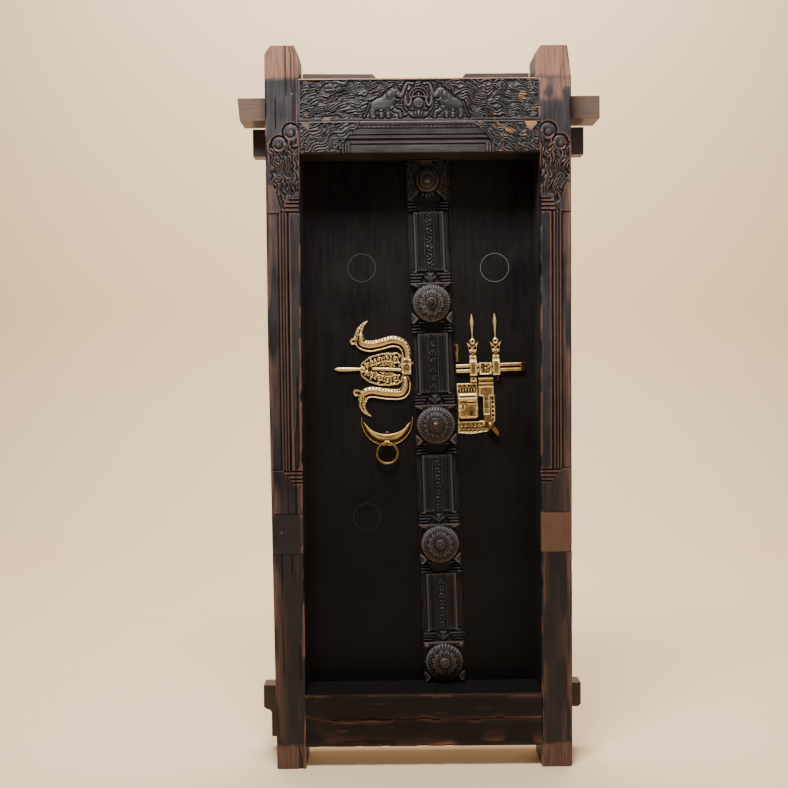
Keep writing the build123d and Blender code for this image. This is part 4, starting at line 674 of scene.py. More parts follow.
# The lintel, one timber tenoned between the posts: straight mouldings and a row of beads
# between two carved ends, with short reeds where the mouldings stop.
LINTEL_LOW, LINTEL_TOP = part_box("lintel")[0].z / MM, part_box("lintel")[1].z / MM
LINTEL_BACK = (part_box("lintel")[1].y - FACE_Y) / MM
LEFT_STOP, RIGHT_STOP = -202.0, 193.0
BEAD_PITCH, BEAD_ROW = 6.6, 75.5
END_BED = -5.2
LINTEL_PROFILE = ((0, -5.0), (2, -4.4), (22, -4.4), (24, -8.5), (27, -8.5), (28.5, -5.6), (34, -5.2),
                  (36, -9.5), (42, -9.5), (44, -4.8), (50, -4.2), (52, -8.0), (54, -8.0), (55.5, -4.2),
                  (68, -3.6), (70, -5.8), (72, -5.8), (79, -5.8), (81, -2.0), (84, -0.4), (92, 0.0))
LINTEL_MITRE = ((0, 0), (28, 0), (30, 20), (55, 0), (82, -30), (92, -30))
LINTEL_SCROLLS = ((302, 1856, 12, 40, 1), (258, 1878, 11, 100, 1), (330, 1832, 10, 80, 1),
                  (242, 1836, 9, 10, 1))
RIGHT_CHIP = ((300, 1904), (340, 1904), (340, 1893), (322, 1872), (312, 1884))
LEFT_CHIP = ((-350, 1904), (-318, 1899), (-322, 1876), (-334, 1886))

lintel = Relief(spread((-POST_IN, 1), (-190, 1.3), (182, 1.9), (POST_IN, 1.3)),
                spread((LINTEL_LOW, 1), (LINTEL_TOP, 1)))
x, z = lintel.x, lintel.z
up = z - LINTEL_LOW
lintel.h = np.interp(up, *zip(*LINTEL_PROFILE))
beads = 3.6 * np.sqrt(np.clip(1 - ((x % BEAD_PITCH) / BEAD_PITCH * 2 - 1) ** 2 * 1.3, 0, 1))
lintel.h += beads * np.sqrt(np.clip(1 - ((up - BEAD_ROW) / 4.2) ** 2, 0, 1))
for side, stop in ((-1, LEFT_STOP), (1, RIGHT_STOP)):
    beyond = side * (x - stop)
    mitre = np.interp(up, *zip(*LINTEL_MITRE))
    carved = beyond > mitre
    reeds = carved & (beyond < 26) & (up < 28)
    lintel.h[carved] = END_BED
    lintel.h[reeds] = -5.5 + 5 * np.abs(np.sin(beyond[reeds] / 8.2 * math.pi)) ** 0.6
    edge = np.exp(-np.abs(beyond - mitre - 1.5) / 2) * (up > 28)
    lintel.h = np.maximum(lintel.h, np.where(edge > 0.4, -0.8, -99))
    ground = carved & ~reeds & (up > 4) & (up < 89) & (np.abs(x) < POST_IN - 4)
    lintel.flames(ground, side * 150, 8.4, 4.9, END_BED, 60 + side)
    lintel.scrolls(LINTEL_SCROLLS, 4.6, 4.8, END_BED, 3, side)
    lintel.h[carved & (up > 89)] = -0.6
chip, left_chip = within(x, z, RIGHT_CHIP), within(x, z, LEFT_CHIP)
lintel.h[chip] = -2.5 - 0.05 * (LINTEL_TOP - z[chip])
lintel.h[left_chip] = -1.4
lintel.h += 0.3 * (noise(x, z, 180, 20, 41) - 0.5) - 0.3 * noise(x, z, 70, 2.4, 42)
lintel.h -= 1.8 * np.exp(-up / 1.5) * (0.5 + noise(x, z * 0, 14, 10, 43))
lintel.h -= 2.0 * np.exp(-(LINTEL_TOP - z) / 1.2)
bare = np.maximum(0.95 * chip + 0.35 * left_chip, 0.5 * ramp(noise(x, z, 22, 12, 44), 0.74, 0.84) * (x > 170))
piece = grid_piece("lintel_carved", x, -lintel.h, z, LINTEL_BACK, hollows(lintel.h), bare, BOARD_WOOD)
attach(piece, "frame")
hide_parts("lintel")


# The threshold and the board under it: plain boards, near black, scratched and rubbed to a
# reddish brown along their edges by feet.
FOOT_WOOD = timber("threshold_wood", ACROSS, heart=(0.0055, 0.004, 0.004, 1), bloom=(0.02, 0.015, 0.015, 1),
                   rubbed=(0.13, 0.05, 0.03, 1), bare=(0.24, 0.10, 0.055, 1), rub=0.1, bloom_amount=0.5,
                   shine=0.15)
for node, seed in (("threshold", 51), ("sill_board", 57)):
    low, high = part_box(node)
    z0, z1 = low.z / MM, high.z / MM
    front, back = (low.y - FACE_Y) / MM, (high.y - FACE_Y) / MM
    relief = Relief(spread((-POST_IN, 1), (POST_IN, 4)), spread((z0 + 0.4, 1), (z1 - 0.4, 2)))
    x, z = relief.x, relief.z
    relief.h -= 0.6 * noise(x, z, 240, 12, seed) + 0.5 * noise(x, z, 40, 3, seed + 1)
    rim = np.minimum(z - z0, z1 - z)
    chips = ramp(noise(x, z * 0 + (z > (z0 + z1) / 2) * 90.0, 38, 30, seed + 2), 0.55, 0.8)
    relief.h -= (1.2 + 4.5 * chips) * np.exp(-rim / (1.2 + 3.5 * chips))
    scratch = ramp(noise(x + 3 * z, z, 90, 2.2, seed + 3), 0.8, 0.9)
    scratch *= ramp(noise(x, z, 60, 30, seed + 4), 0.55, 0.7)
    relief.h -= 0.7 * scratch
    bare = np.exp(-rim / 5) * (0.25 + chips) + 0.6 * scratch
    foot_rub = np.exp(-(z - z0) / 16) * ramp(noise(x, z, 70, 30, seed + 6), 0.5, 0.8) * (node == "sill_board")
    bare = np.clip(bare * ramp(noise(x, z, 120, 60, seed + 5), 0.2, 0.6) + foot_rub, 0, 1)
    piece = grid_piece(node + "_worn", x, front - relief.h, z, back, hollows(relief.h), bare, FOOT_WOOD)
    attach(piece, "frame")
    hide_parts(node)


# The rear beams, the dipped top board and the pegs: rough timbers behind the front frame, browner
# where they were sheltered.
REAR_WOOD = timber("rear_wood", ACROSS, heart=(0.03, 0.018, 0.014, 1), bloom=(0.07, 0.045, 0.036, 1),
                   rubbed=(0.16, 0.085, 0.055, 1), rub=0.1, bloom_amount=0.8)
SHELTERED_WOOD = timber("sheltered_wood", ACROSS, heart=(0.055, 0.03, 0.021, 1),
                        bloom=(0.13, 0.078, 0.056, 1), rubbed=(0.2, 0.12, 0.08, 1), rub=0.25,
                        bloom_amount=0.8)
dress(REAR_WOOD, "head_beam", "sill_beam", "top_board", "frame_pegs")
dress(SHELTERED_WOOD, "cross_beam")


# The two leaves: each one broad plank with round pivots and three ledges nailed across the
# back. Circles scribed with a compass mark their dark fronts.
SCRIBED_LINE, SCRIBED_DEEP = 0.0011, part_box("left_panel")[0].y + 2 * MM
SCRATCH_PALE = (0.2, 0.19, 0.19, 1)


def scribed_group():
    """Rings scribed with a compass: a mask from a centre, a radius and a line width, on the front only."""
    shader, given, out = shader_group("scribed_ring", {
        "Centre": "Vector", "Radius": "Float", "Line": "Float", "Front": "Float"}, {"Mask": "Float"})
    place = shader.place()
    flat = shader.add("VectorMath", {0: place, 1: (1, 0, 1)}, operation="MULTIPLY")
    away = shader.add("VectorMath", {0: flat, 1: given["Centre"]}, "Value", operation="DISTANCE")
    off = shader.math("ABSOLUTE", shader.math("SUBTRACT", away, given["Radius"]), 0.0)
    line = shader.math("SUBTRACT", 1.0, shader.step(off, 0.0, given["Line"]))
    facing = shader.math("LESS_THAN", shader.add("SeparateXYZ", {0: place}, "Y"), given["Front"])
    shader.feed(out, {"Mask": shader.math("MULTIPLY", line, facing)})
    return shader.tree


SCRIBED = scribed_group()


def leaf_wood(name, rings):
    """The leaf's wood with its scribed circles as pale scratched lines."""
    material = timber(name, UPRIGHT, heart=(0.0035, 0.0025, 0.0025, 1), bloom=(0.013, 0.0095, 0.0095, 1),
                      rubbed=(0.04, 0.016, 0.011, 1), rub=0.35, bloom_amount=1.0, bump=0.5, shine=0.12)
    shader, surface = Shader(material.node_tree), material.node_tree.nodes["Principled BSDF"]
    colour = surface.inputs["Base Color"].links[0].from_socket
    for x, z, radius, strength in rings:
        ring = {"Centre": (x, 0, z), "Radius": radius, "Line": SCRIBED_LINE, "Front": SCRIBED_DEEP}
        mask = shader.add("Group", ring, "Mask", node_tree=SCRIBED)
        colour = shader.mix(shader.math("MULTIPLY", mask, strength), colour, SCRATCH_PALE)
    shader.feed(surface, {"Base Color": colour})
    return material


dress(leaf_wood("left_leaf_wood", ((-0.175, 1.488, 0.042, 0.35), (-0.166, 0.727, 0.041, 0.15))), "left_panel")
dress(leaf_wood("right_leaf_wood", ((0.229, 1.486, 0.043, 0.9),)), "right_panel")
dress(REAR_WOOD, *[f"{side}_ledge_{number}" for side in ("left", "right") for number in (1, 2, 3)])
dress(IRON, "right_ledge_nails")


# The strip down the middle, one long moulded and carved board that covers the joint of the
# leaves. It rides on the left leaf and leans a little, as the real one does.
LEAN = math.radians(1.65)
STRIP_X, STRIP_Z = 46.1, 1010.0
STRIP_FRONT, STRIP_BACK = 137.0, 151.0
STRIP_LOW, STRIP_HIGH = 223.0, 1808.0
SHAFT_RISE, LACE_RISE = 9.0, 3.4
LACE_BED = SHAFT_RISE - 3.2
LACE_PITCHES = (20.5, 21.4, 24.0, 25.0)
LACE_WAVE = ((-8, -10, 1.6), (5, -5, 2), (7, 3, 2), (-3, 7, 1.6), (-7, 12, 1.4))
SHAFT_HALF, BEAD_AT, REEDS_HALF, LACE_HALF = 46, 38.5, 28, 12
BOSS_Z = (285.0, 647.0, 1010.0, 1379.0, 1746.0)
HALF_BLOCK = 61.0
LOWER_BARS = ((5, 31, 61), (14, 26, 61), (23, 19, 61), (31, 40, 55))
UPPER_BARS = ((9, 38, 61), (18, 33, 61), (27, 27, 61))
STRIP_WOOD = timber("strip_wood", UPRIGHT, heart=(0.0065, 0.005, 0.005, 1), bloom=(0.026, 0.021, 0.022, 1),
                    rubbed=(0.06, 0.046, 0.045, 1), rub=0.05, shine=0.25)


def leaned(x, z):
    """Turns places with the strip about its middle."""
    dx, dz = x - STRIP_X, z - STRIP_Z
    c, s = math.cos(LEAN), math.sin(LEAN)
    return STRIP_X + dx * c - dz * s, STRIP_Z + dx * s + dz * c


def strip_lace(relief, low, high, motif):
    """The narrow vine down the middle of one length of the strip: arches, a winding vine or waves."""
    count = int((high - low) / LACE_PITCHES[motif])
    base, rise = LACE_BED, LACE_RISE
    for k in range(count):
        mid = low + (k + 0.5) * (high - low) / count
        hand = 1 if k % 2 else -1
        if motif < 2:
            relief.stroke([(8.5 * math.cos(a), mid - 1 + 8 * math.sin(a), 1.7)
                           for a in np.linspace(-0.5, math.pi + 0.5, 22)], rise, base)
            relief.blob(0, mid, 2.8, 3.6, 0, rise, base)
            for side in (-1, 1):
                relief.leaf(side * 2, mid - 5, 10, 4.5, 90 + side * -75, rise * 0.9, base, curl=side * 1.2)
        elif motif == 2:
            relief.scroll(hand * 1.5, mid, 7.5, 3.4, 90 * hand, hand, rise, base, turns=1.1, leaves=3)
            relief.leaf(-hand * 8, mid - 6, 11, 4, 90 - 25 * hand, rise, base, curl=-hand)
        else:
            relief.ridge([(hand * dx, mid + dz, w) for dx, dz, w in LACE_WAVE], rise, base)
            relief.leaf(-hand * 3, mid - 3, 11, 5.5, 90 + 55 * hand, rise, base, curl=hand)
            relief.leaf(hand * 2, mid + 5, 9, 4.5, 90 - 70 * hand, rise, base, curl=-hand)


strip = Relief(spread((-62, 1), (-47, 1.6), (47, 1.4), (62, 1.6)), spread((STRIP_LOW, 1), (STRIP_HIGH, 1.9)))
x, z = strip.x, strip.z
away = np.abs(x)
strip.h = np.where(away > 55, -3.0, 0.0)
shaft = away < SHAFT_HALF
strip.h[shaft] = SHAFT_RISE - 0.4
bead = shaft & (away > BEAD_AT)
strip.h[bead] = SHAFT_RISE - 1.6 + 2.0 * np.sqrt(np.clip(1 - ((away[bead] - 42.2) / 3.7) ** 2, 0, 1))
reeds = (away < REEDS_HALF) & (away > LACE_HALF)
strip.h[reeds] = SHAFT_RISE - 2.6 + 2.4 * np.abs(np.sin((away[reeds] - LACE_HALF) / 5.33 * math.pi)) ** 0.7
strip.h[away <= LACE_HALF] = LACE_BED
strip.h[np.abs(away - 30.5) < 1.3] = SHAFT_RISE - 1.8
for boss_z in BOSS_Z:
    bed = np.abs(z - boss_z) < HALF_BLOCK
    strip.h[bed] = np.minimum(strip.h[bed], -0.6)
shade = 0 * x
for index, (lower_z, upper_z) in enumerate(zip(BOSS_Z, BOSS_Z[1:])):
    low, high = lower_z + HALF_BLOCK, upper_z - HALF_BLOCK
    strip_lace(strip, low + 40, high - 24, index)
    well = (z > low) & (z < low + 36)
    strip.h[well] = np.minimum(strip.h[well], 2.5)
    strip.leaf(0, low + 4, 24, 22, 90, 6, 3, curl=0.0)
    for hand in (-1, 1):
        strip.leaf(hand * 4, low + 5, 22, 9, 90 - hand * 38, 5, 3, curl=-hand * 0.8)
        strip.leaf(hand * 3, low + 18, 17, 7, 90 - hand * 24, 6, 3, curl=-hand * 0.7)
    under = (z < high) & (z > high - 30) & (away < 62)
    for rise, inner, outer in LOWER_BARS:
        bar = (z > low + rise) & (z < low + rise + 5) & (away > inner) & (away < outer)
        strip.h[bar] = SHAFT_RISE + 2.0
    strip.h[under] = np.minimum(strip.h[under], -5.0)
    shade[under & (away < 50)] = 1.2
    for drop, inner, outer in UPPER_BARS:
        bar = (z > high - drop) & (z < high - drop + 5) & (away > inner) & (away < outer)
        strip.h[bar] = SHAFT_RISE + 1.5
strip.h += 0.4 * (noise(x + 99, z, 11, 190, 71) - 0.5) - 0.3 * noise(x + 99, z, 2.4, 60, 72)
arris(strip, 1.2, 73, chips=0.7)
leaned_x, leaned_z = leaned(STRIP_X + x, z)
piece = grid_piece("strip_carved", leaned_x, STRIP_FRONT - strip.h, leaned_z, STRIP_BACK,
                   hollows(strip.h) + 0.15 * (away > BEAD_AT) - shade, 0 * x, STRIP_WOOD)
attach(piece, "left_leaf")
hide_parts("centre_strip")


# The five bosses, square blocks with hollowed sides, held on the strip by metal studs. Four
# carry a petalled dome, and the top one has turned rings between pads of scrolls.
BOSS_STEP = 1.2
BLOCK_FRONT, BLOCK_BACK = 117.0, 137.0
OPEN = -19.2
BELL_PROFILE = ((0, 24), (8, 24), (14, 22.5), (16, 20.5), (18, 19), (32, 17), (41, 13), (44, 11.5), (52, 7),
                (56, 3), (57.5, 0))
RINGS_PROFILE = ((0, 24), (16, 24), (18, 18), (21, 21), (24, 21), (26, 16), (29, 17), (31, 17), (34, 10),
                 (36, -2))
DOMES = ((30, 12), (40, 13), (36, 15), (40, 12))
WORN_BOSSES = (0, 3)
TOP_PAD = ((14, 61), (61.5, 61), (61.5, -58), (54, -61.5), (46, -52), (20, -30), (20, 20))
TOP_SCROLLS = ((50, 48, 9, 60, 1), (52, 24, 9, 200, 1), (50, 0, 9, 80, 1), (38, -18, 11, 20, 1),
               (50, -28, 9, 150, 1), (53, -50, 7, 100, 1), (34, 50, 9, 10, 1))
LEDGE_Z, PAD_RISE = 57, -5.0
BOSS_WOOD = timber("boss_wood", (60.0, 60.0, 30.0), heart=(0.008, 0.0065, 0.0065, 1),
                   bloom=(0.042, 0.036, 0.036, 1), rubbed=(0.115, 0.09, 0.08, 1), rub=0.15, shine=0.3)


def petal_dome(relief, ribs, petals):
    """A bell with fine ribs round its rim, a ring of pointed petals over them and a turned crown."""
    reach, angle = np.hypot(relief.x, relief.z), np.arctan2(relief.z, relief.x)
    bell = np.interp(reach, *zip(*BELL_PROFILE))
    bell = bell - 1.9 * (1 - np.abs(np.cos(angle * ribs / 2)) ** 0.6) * ramp(reach, 41, 43)
    petal = 1 - np.abs(((angle / math.pi * petals / 2) % 1) * 2 - 1)
    leaf = (reach > 19) & (reach < 28 + 14 * petal ** 0.6)
    vein = np.exp(-((1 - petal) / 0.12) ** 2)
    bell = bell + np.where(leaf, 0.8 - 1.0 * vein, -1.5 * (reach > 19) * (reach < 41))
    bell = bell - 1.2 * np.exp(-((reach - 42) / 1.2) ** 2) - 1.2 * np.exp(-((reach - 18) / 1.3) ** 2)
    relief.h = np.where(reach < BELL_PROFILE[-1][0], np.maximum(relief.h, bell), relief.h)


def boss_block(index):
    """One block: ledge, corner ears, hollow sides and its dome."""
    across = spread((-HALF_BLOCK, 1), (HALF_BLOCK, BOSS_STEP))
    relief = Relief(across, across)
    x, z = relief.x, relief.z
    away, reach = np.abs(x), np.hypot(x, z)
    relief.h = -1.0 - 8.5 * ramp(LEDGE_Z - z, 0, 22)
    relief.h[z > LEDGE_Z] = 0.0
    relief.h[(z < LEDGE_Z - 0.55 * (HALF_BLOCK - away)) & (z > 0) & (away > 30) & (reach > 55)] = OPEN
    relief.h[(z < 0) & (reach > 54)] = OPEN
    ear = within(away, z, [(61.5, -25), (39, -46), (56, -62), (61.5, -62)])
    relief.h[ear] = -1.0 - 0.12 * (HALF_BLOCK - away[ear])
    relief.h[(z < -56) & (away < 40)] = -9.0
    for side in (-1, 1):
        if index == 4:
            relief.h[within(side * x, z, TOP_PAD)] = PAD_RISE
            relief.scrolls(TOP_SCROLLS, 3.6, 4.6, PAD_RISE, 4, side)
        if index == 0:
            relief.blob(side * 52, 52, 9, 9, 0, 8, -6)
            relief.blob(side * 52, 52, 4, 4, 0, 11, -6)
    if index < len(DOMES):
        petal_dome(relief, *DOMES[index])
    else:
        relief.h[within(away, z, [(-1, -14), (22, -26), (46, -61), (-1, -61)])] = OPEN
        for turn in (-128, -100, -78, -50):
            relief.leaf(0, -20, 32, 13, turn, 12, -16, curl=0.0)
        rings = np.interp(reach, *zip(*RINGS_PROFILE))
        relief.h = np.where(reach < 36, np.maximum(rings, relief.h), relief.h)
    chip = noise(x + 200 * index, z + 70, 7, 9, 81)
    relief.h -= 0.7 * noise(x + 90, z + 90, 3, 9, 82) + 1.2 * ramp(chip, 0.8, 0.95)
    relief.h = np.maximum(relief.h, OPEN - 0.1)
    return relief


for index, boss_z in enumerate(BOSS_Z):
    relief = boss_block(index)
    # Painted shadow: the deep open parts of each block get a low value, so they render dark like the shade
    # under the dome and ears.
    wear = hollows(relief.h) + 0.3 * ramp(relief.h, 14, 22) - 1.2 * (relief.h < -15)
    leaned_x, leaned_z = leaned(STRIP_X + relief.x, boss_z + relief.z)
    bare = 0.35 * ramp(relief.h, 17, 24) * (index in WORN_BOSSES)
    piece = grid_piece(f"boss_{index + 1}_carved", leaned_x, BLOCK_FRONT - relief.h, leaned_z, BLOCK_BACK,
                       wear, bare, BOSS_WOOD)
    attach(piece, "left_leaf")
    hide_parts(f"boss_{index + 1}")

STUD = plain_coat("stud_metal", (0.09, 0.066, 0.056, 1), 0.9, 0.42)
dress(STUD, *[f"boss_stud_{number}" for number in range(1, 6)])


# The brass set of the left leaf: a pierced leaf-shaped plate with a raised bar and a spear
# tongue, two serpent arms, and a crescent handle with a pull ring, all cast and riveted on.
BRASS_STEP = 0.92
LEAF_FRONT = 151.0
SHARP_CAST = 42
EMPTY = -9


def brass_group():
    """Old brass: bright on the high points, brown patina in the hollows and in the painted shade that a piece
    marks, fine casting marks.
    """
    tones = dict.fromkeys(("Base", "Bright", "Patina"), "Color")
    shader, given, out = shader_group("old_brass", tones, FINISH)
    grain = shader.noise(shader.place(), 75.0, 6.0, 0.7)
    total = shader.math("ADD", shader.layer("wear"), grain)
    colour = shader.mix(shader.step(total, 0.15, 0.75, "LINEAR"), given["Patina"], given["Base"])
    colour = shader.mix(shader.step(total, 0.7, 1.45, "LINEAR"), colour, given["Bright"])
    rough = shader.scaled(grain, 0.28, 0.34)
    shader.feed(out, {"Colour": colour, "Roughness": rough, "Height": grain})
    return shader.tree


BRASS = coat("old_brass_cast", brass_group(), {
    "Base": (0.40, 0.245, 0.08, 1), "Bright": (0.80, 0.60, 0.28, 1), "Patina": (0.035, 0.015, 0.006, 1)},
             0.35, 0.0006, {"Metallic": 1.0})


def to_outline(x, z, points):
    """How far each point lies inside a closed outline, negative outside it."""
    nearest = np.full(x.shape, 1e9)
    for (x0, z0), (x1, z1) in zip(points, points[1:] + points[:1]):
        dx, dz = x1 - x0, z1 - z0
        t = np.clip(((x - x0) * dx + (z - z0) * dz) / (dx * dx + dz * dz), 0, 1)
        nearest = np.minimum(nearest, np.hypot(x - x0 - t * dx, z - z0 - t * dz))
    return np.where(within(x, z, points), nearest, -nearest)


def plate(relief, points, height):
    """Adds a flat area with the given outline."""
    distance = to_outline(relief.x, relief.z, points)
    relief.inside = np.maximum(relief.inside, distance)
    relief.h = np.where(distance > 0, np.maximum(relief.h, height), relief.h)


def pierce(relief, distance):
    """Cuts through wherever the distance is positive."""
    relief.inside = np.minimum(relief.inside, -distance)


def oval(relief, x, z, a, b, turn=0.0):
    """How far each point lies inside an oval."""
    c, s = math.cos(math.radians(turn)), math.sin(math.radians(turn))
    dx, dz = relief.x - x, relief.z - z
    q = np.sqrt(((dx * c + dz * s) / a) ** 2 + ((dz * c - dx * s) / b) ** 2)
    return (1 - q) * min(a, b)


def cast_piece(name, relief, front, thick=0.0, lean=False, dirt_and_shade=0.0):
    """A cast plate: the grid cells inside the outline, drawn to its edge, with walls and a flat back."""
    inside, back = relief.inside, front + thick
    grow_z, grow_x = np.gradient(inside, relief.zs, relief.xs)
    size = grow_x ** 2 + grow_z ** 2 + 1e-6
    step = relief.xs[1] - relief.xs[0]
    move = np.where(inside < 0, -inside, 0) / size
    x = relief.x + np.clip(move * grow_x, -step, step)
    z = relief.z + np.clip(move * grow_z, -step, step)
    # The dirt-and-shade values lower the wear-and-shade value: random dirt on the chased plate, painted shade
    # in the keeper pits and eyes, and darker places on the bolt and staple.
    wear = hollows(relief.h, 4) - dirt_and_shade
    y = front - relief.h + 0.7 * (1 - np.clip(inside / 1.3, 0, 1)) ** 2
    y = np.minimum(y, back - 0.3)
    filled = inside > 0
    keep = np.zeros((len(relief.zs) + 1, len(relief.xs) + 1), bool)
    keep[1:-1, 1:-1] = filled[:-1, :-1] | filled[1:, :-1] | filled[:-1, 1:] | filled[1:, 1:]
    cells = keep[1:-1, 1:-1]
    used = np.zeros(inside.shape, bool)
    for j, i in ((0, 0), (0, 1), (1, 0), (1, 1)):
        used[j:j + cells.shape[0], i:i + cells.shape[1]] |= cells
    index = np.full(inside.shape, -1)
    count = int(used.sum())
    index[used] = np.arange(count)
    a, b, c, d = index[:-1, :-1], index[:-1, 1:], index[1:, 1:], index[1:, :-1]
    fronts = np.stack([a[cells], b[cells], c[cells], d[cells]], -1)
    walls = []
    for p, q, beyond in ((a, b, keep[:-2, 1:-1]), (b, c, keep[1:-1, 2:]), (c, d, keep[2:, 1:-1]),
                         (d, a, keep[1:-1, :-2])):
        rim = cells & ~beyond
        walls.append(np.stack([q[rim], p[rim], p[rim] + count, q[rim] + count], -1))
    faces = np.concatenate([fronts, fronts[:, ::-1] + count, *walls])
    if lean:
        x, z = leaned(x, z)
    places = np.stack([x[used], y[used], z[used]], -1)
    behind = places.copy()
    behind[:, 1] = back
    points = np.concatenate([places, behind]) * MM
    points[:, 1] += FACE_Y
    return solid(name, points.tolist(), faces.tolist(), BRASS, SHARP_CAST, wear=np.tile(wear[used], 2))


def brass_field(x0, x1, z0, z1):
    """An empty field for a cast piece."""
    return Relief(np.arange(x0, x1, BRASS_STEP), np.arange(z0, z1, BRASS_STEP), EMPTY)


def notch(relief, places, r, depth, steep):
    """Drills small round hollows."""
    for x, z, _ in places:
        hole, gap = relief.window(x, z, r)
        relief.h[hole] -= depth * np.clip(steep * (1 - gap / r), 0, 1)


SERPENT_HEAD = ((-1, 0.3), (-0.4, 1), (1.2, 0.7), (1.2, -0.7), (-0.4, -1), (-0.9, -0.4))
SERPENT_ROOM = 32


def serpent(points, crest, head):
    """A serpent arm: a bright ridge with slots along it, a hollow under it and a beaded rim."""
    hx, hz, size = head
    xs, zs = [p[0] for p in points + crest] + [hx], [p[1] for p in points + crest] + [hz]
    relief = brass_field(min(xs) - SERPENT_ROOM, max(xs) + SERPENT_ROOM, min(zs) - SERPENT_ROOM,
                         max(zs) + SERPENT_ROOM)
    path = smooth_path([(x, z, w / 2) for x, z, w in points])
    relief.stroke(path, 4.5, 0, flat=0.55)
    relief.stroke(beside(path, 0.30, 0.66), 7.5, 5.2)
    relief.stroke(beside(path, -0.86, 0.16), 3.5, 4.5)
    for x, z, w in beside(path, -0.86, 0.2)[::5]:
        relief.blob(x, z, w * 0.8, w * 0.8, 0, 4.6, 4.4)
    notch(relief, beside(path, 0.7, 0.1)[6:-4:9], 2.6, 9.0, 1.6)
    horn = smooth_path([(x, z, w / 2) for x, z, w in crest])
    relief.stroke(horn, 6.5, 3, flat=0.15)
    relief.cut(beside(horn, -0.1, 0.22), 2.0)
    notch(relief, beside(horn, 0.4, 0.3)[4:-8:10], 2.2, 6.0, 1.5)
    box = [(hx + size * dx, hz + size * dz) for dx, dz in SERPENT_HEAD]
    plate(relief, box, 6.0)
    rim_line = to_outline(relief.x, relief.z, box)
    relief.h = np.where((rim_line > 0) & (rim_line < 2.8), np.maximum(relief.h, 8.0), relief.h)
    pierce(relief, oval(relief, hx - size * 0.1, hz, size * 0.3, size * 0.3))
    return relief


LEFT_SERPENTS = {
    "upper_serpent": ([(-186, 1280, 30), (-179, 1258, 33), (-154, 1250, 35), (-124, 1254, 34),
                       (-84, 1264, 35), (-58, 1258, 33), (-45, 1243, 30), (-41, 1226, 27), (-41, 1210, 22)],
                      [(-188, 1274, 26), (-184, 1296, 21), (-173, 1314, 12), (-159, 1326, 4)],
                      (-203, 1264, 10)),
    "lower_serpent": ([(-176, 1084, 28), (-170, 1102, 32), (-147, 1110, 34), (-104, 1104, 34),
                       (-63, 1103, 34), (-48, 1112, 32), (-42, 1130, 27), (-43, 1150, 22)],
                      [(-175, 1092, 26), (-177, 1068, 21), (-168, 1050, 13), (-151, 1037, 4)],
                      (-194, 1108, 11)),
}
for node, parts in LEFT_SERPENTS.items():
    piece = cast_piece(node + "_cast", serpent(*parts), LEAF_FRONT)
    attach(piece, "left_leaf")
    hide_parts(node)

FILIGREE_Z = 1180
FILIGREE_OUTLINE = ((-181, 1192), (-178, 1199), (-154, 1218), (-116, 1228), (-68, 1230), (-56, 1222),
                    (-50, 1206), (-50, 1160), (-56, 1140), (-69, 1132), (-93, 1129), (-125, 1130),
                    (-155, 1139), (-177, 1156), (-182, 1168))
FILIGREE_SCROLLS = ((-76, 29, 12, 200, 1), (-100, 33, 12, 20, -1), (-124, 28, 11, 200, 1),
                    (-146, 20, 9, 20, -1), (-162, 12, 6, 160, 1), (-88, 14, 9, 60, 1), (-112, 15, 8, 120, -1),
                    (-134, 10, 6, 60, 1))
BORDER, FILIGREE_RISE = 5, 2.6
filigree, lace = (brass_field(-190, -40, 1120, 1240) for _ in range(2))
plate(filigree, FILIGREE_OUTLINE, FILIGREE_RISE)
rim = to_outline(filigree.x, filigree.z, FILIGREE_OUTLINE)
for side in (-1, 1):
    for sx, sz, r, start, hand in FILIGREE_SCROLLS:
        lace.scroll(sx, FILIGREE_Z + side * sz, r, 6.0, start * side, hand * side, 3.8, 1.6, leaves=5)
gap = np.where(rim > BORDER, -lace.inside, EMPTY)
for limit in (np.abs(filigree.z - FILIGREE_Z) - 6.5, -64 - filigree.x, rim - BORDER):
    gap = np.minimum(gap, limit)
pierce(filigree, gap)
filigree.h = np.where(lace.inside > 0, np.maximum(filigree.h, lace.h), filigree.h)
filigree.h[(rim > 0) & (rim < 4)] = 4.4
filigree.ridge([(-143, 1181, 4.5), (-100, 1180, 5), (-60, 1177, 5)], 5.5, 3.5, flat=0.3)
filigree.ridge([(-64, 1186, 3), (-54, 1200, 4), (-52, 1214, 3)], 3.5, 3)
piece = cast_piece("filigree_cast", filigree, LEAF_FRONT)
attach(piece, "left_leaf")
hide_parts("filigree_plate")

tongue = brass_field(-268, -160, 1164, 1196)
tongue.ridge([(-262, 1180, 0.6), (-252, 1180, 5), (-240, 1180, 6.4), (-210, 1180, 6.0),
              (-186, 1180, 4.8), (-180, 1180, 4.5)], 4.0, 4.2)
plate(tongue, [(-175 + 9.5 * math.cos(a), 1179 + 9.5 * math.sin(a)) for a in np.linspace(0, 6.0, 20)], 6.4)
tongue.blob(-175, 1179, 7.8, 7.8, 0, -2.0, 8.4)
tongue.blob(-173, 1180, 4.2, 4.2, 0, 4.6, 7.0)
piece = cast_piece("tongue_cast", tongue, LEAF_FRONT, -3.5)
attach(piece, "left_leaf")
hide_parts("spear_tongue")

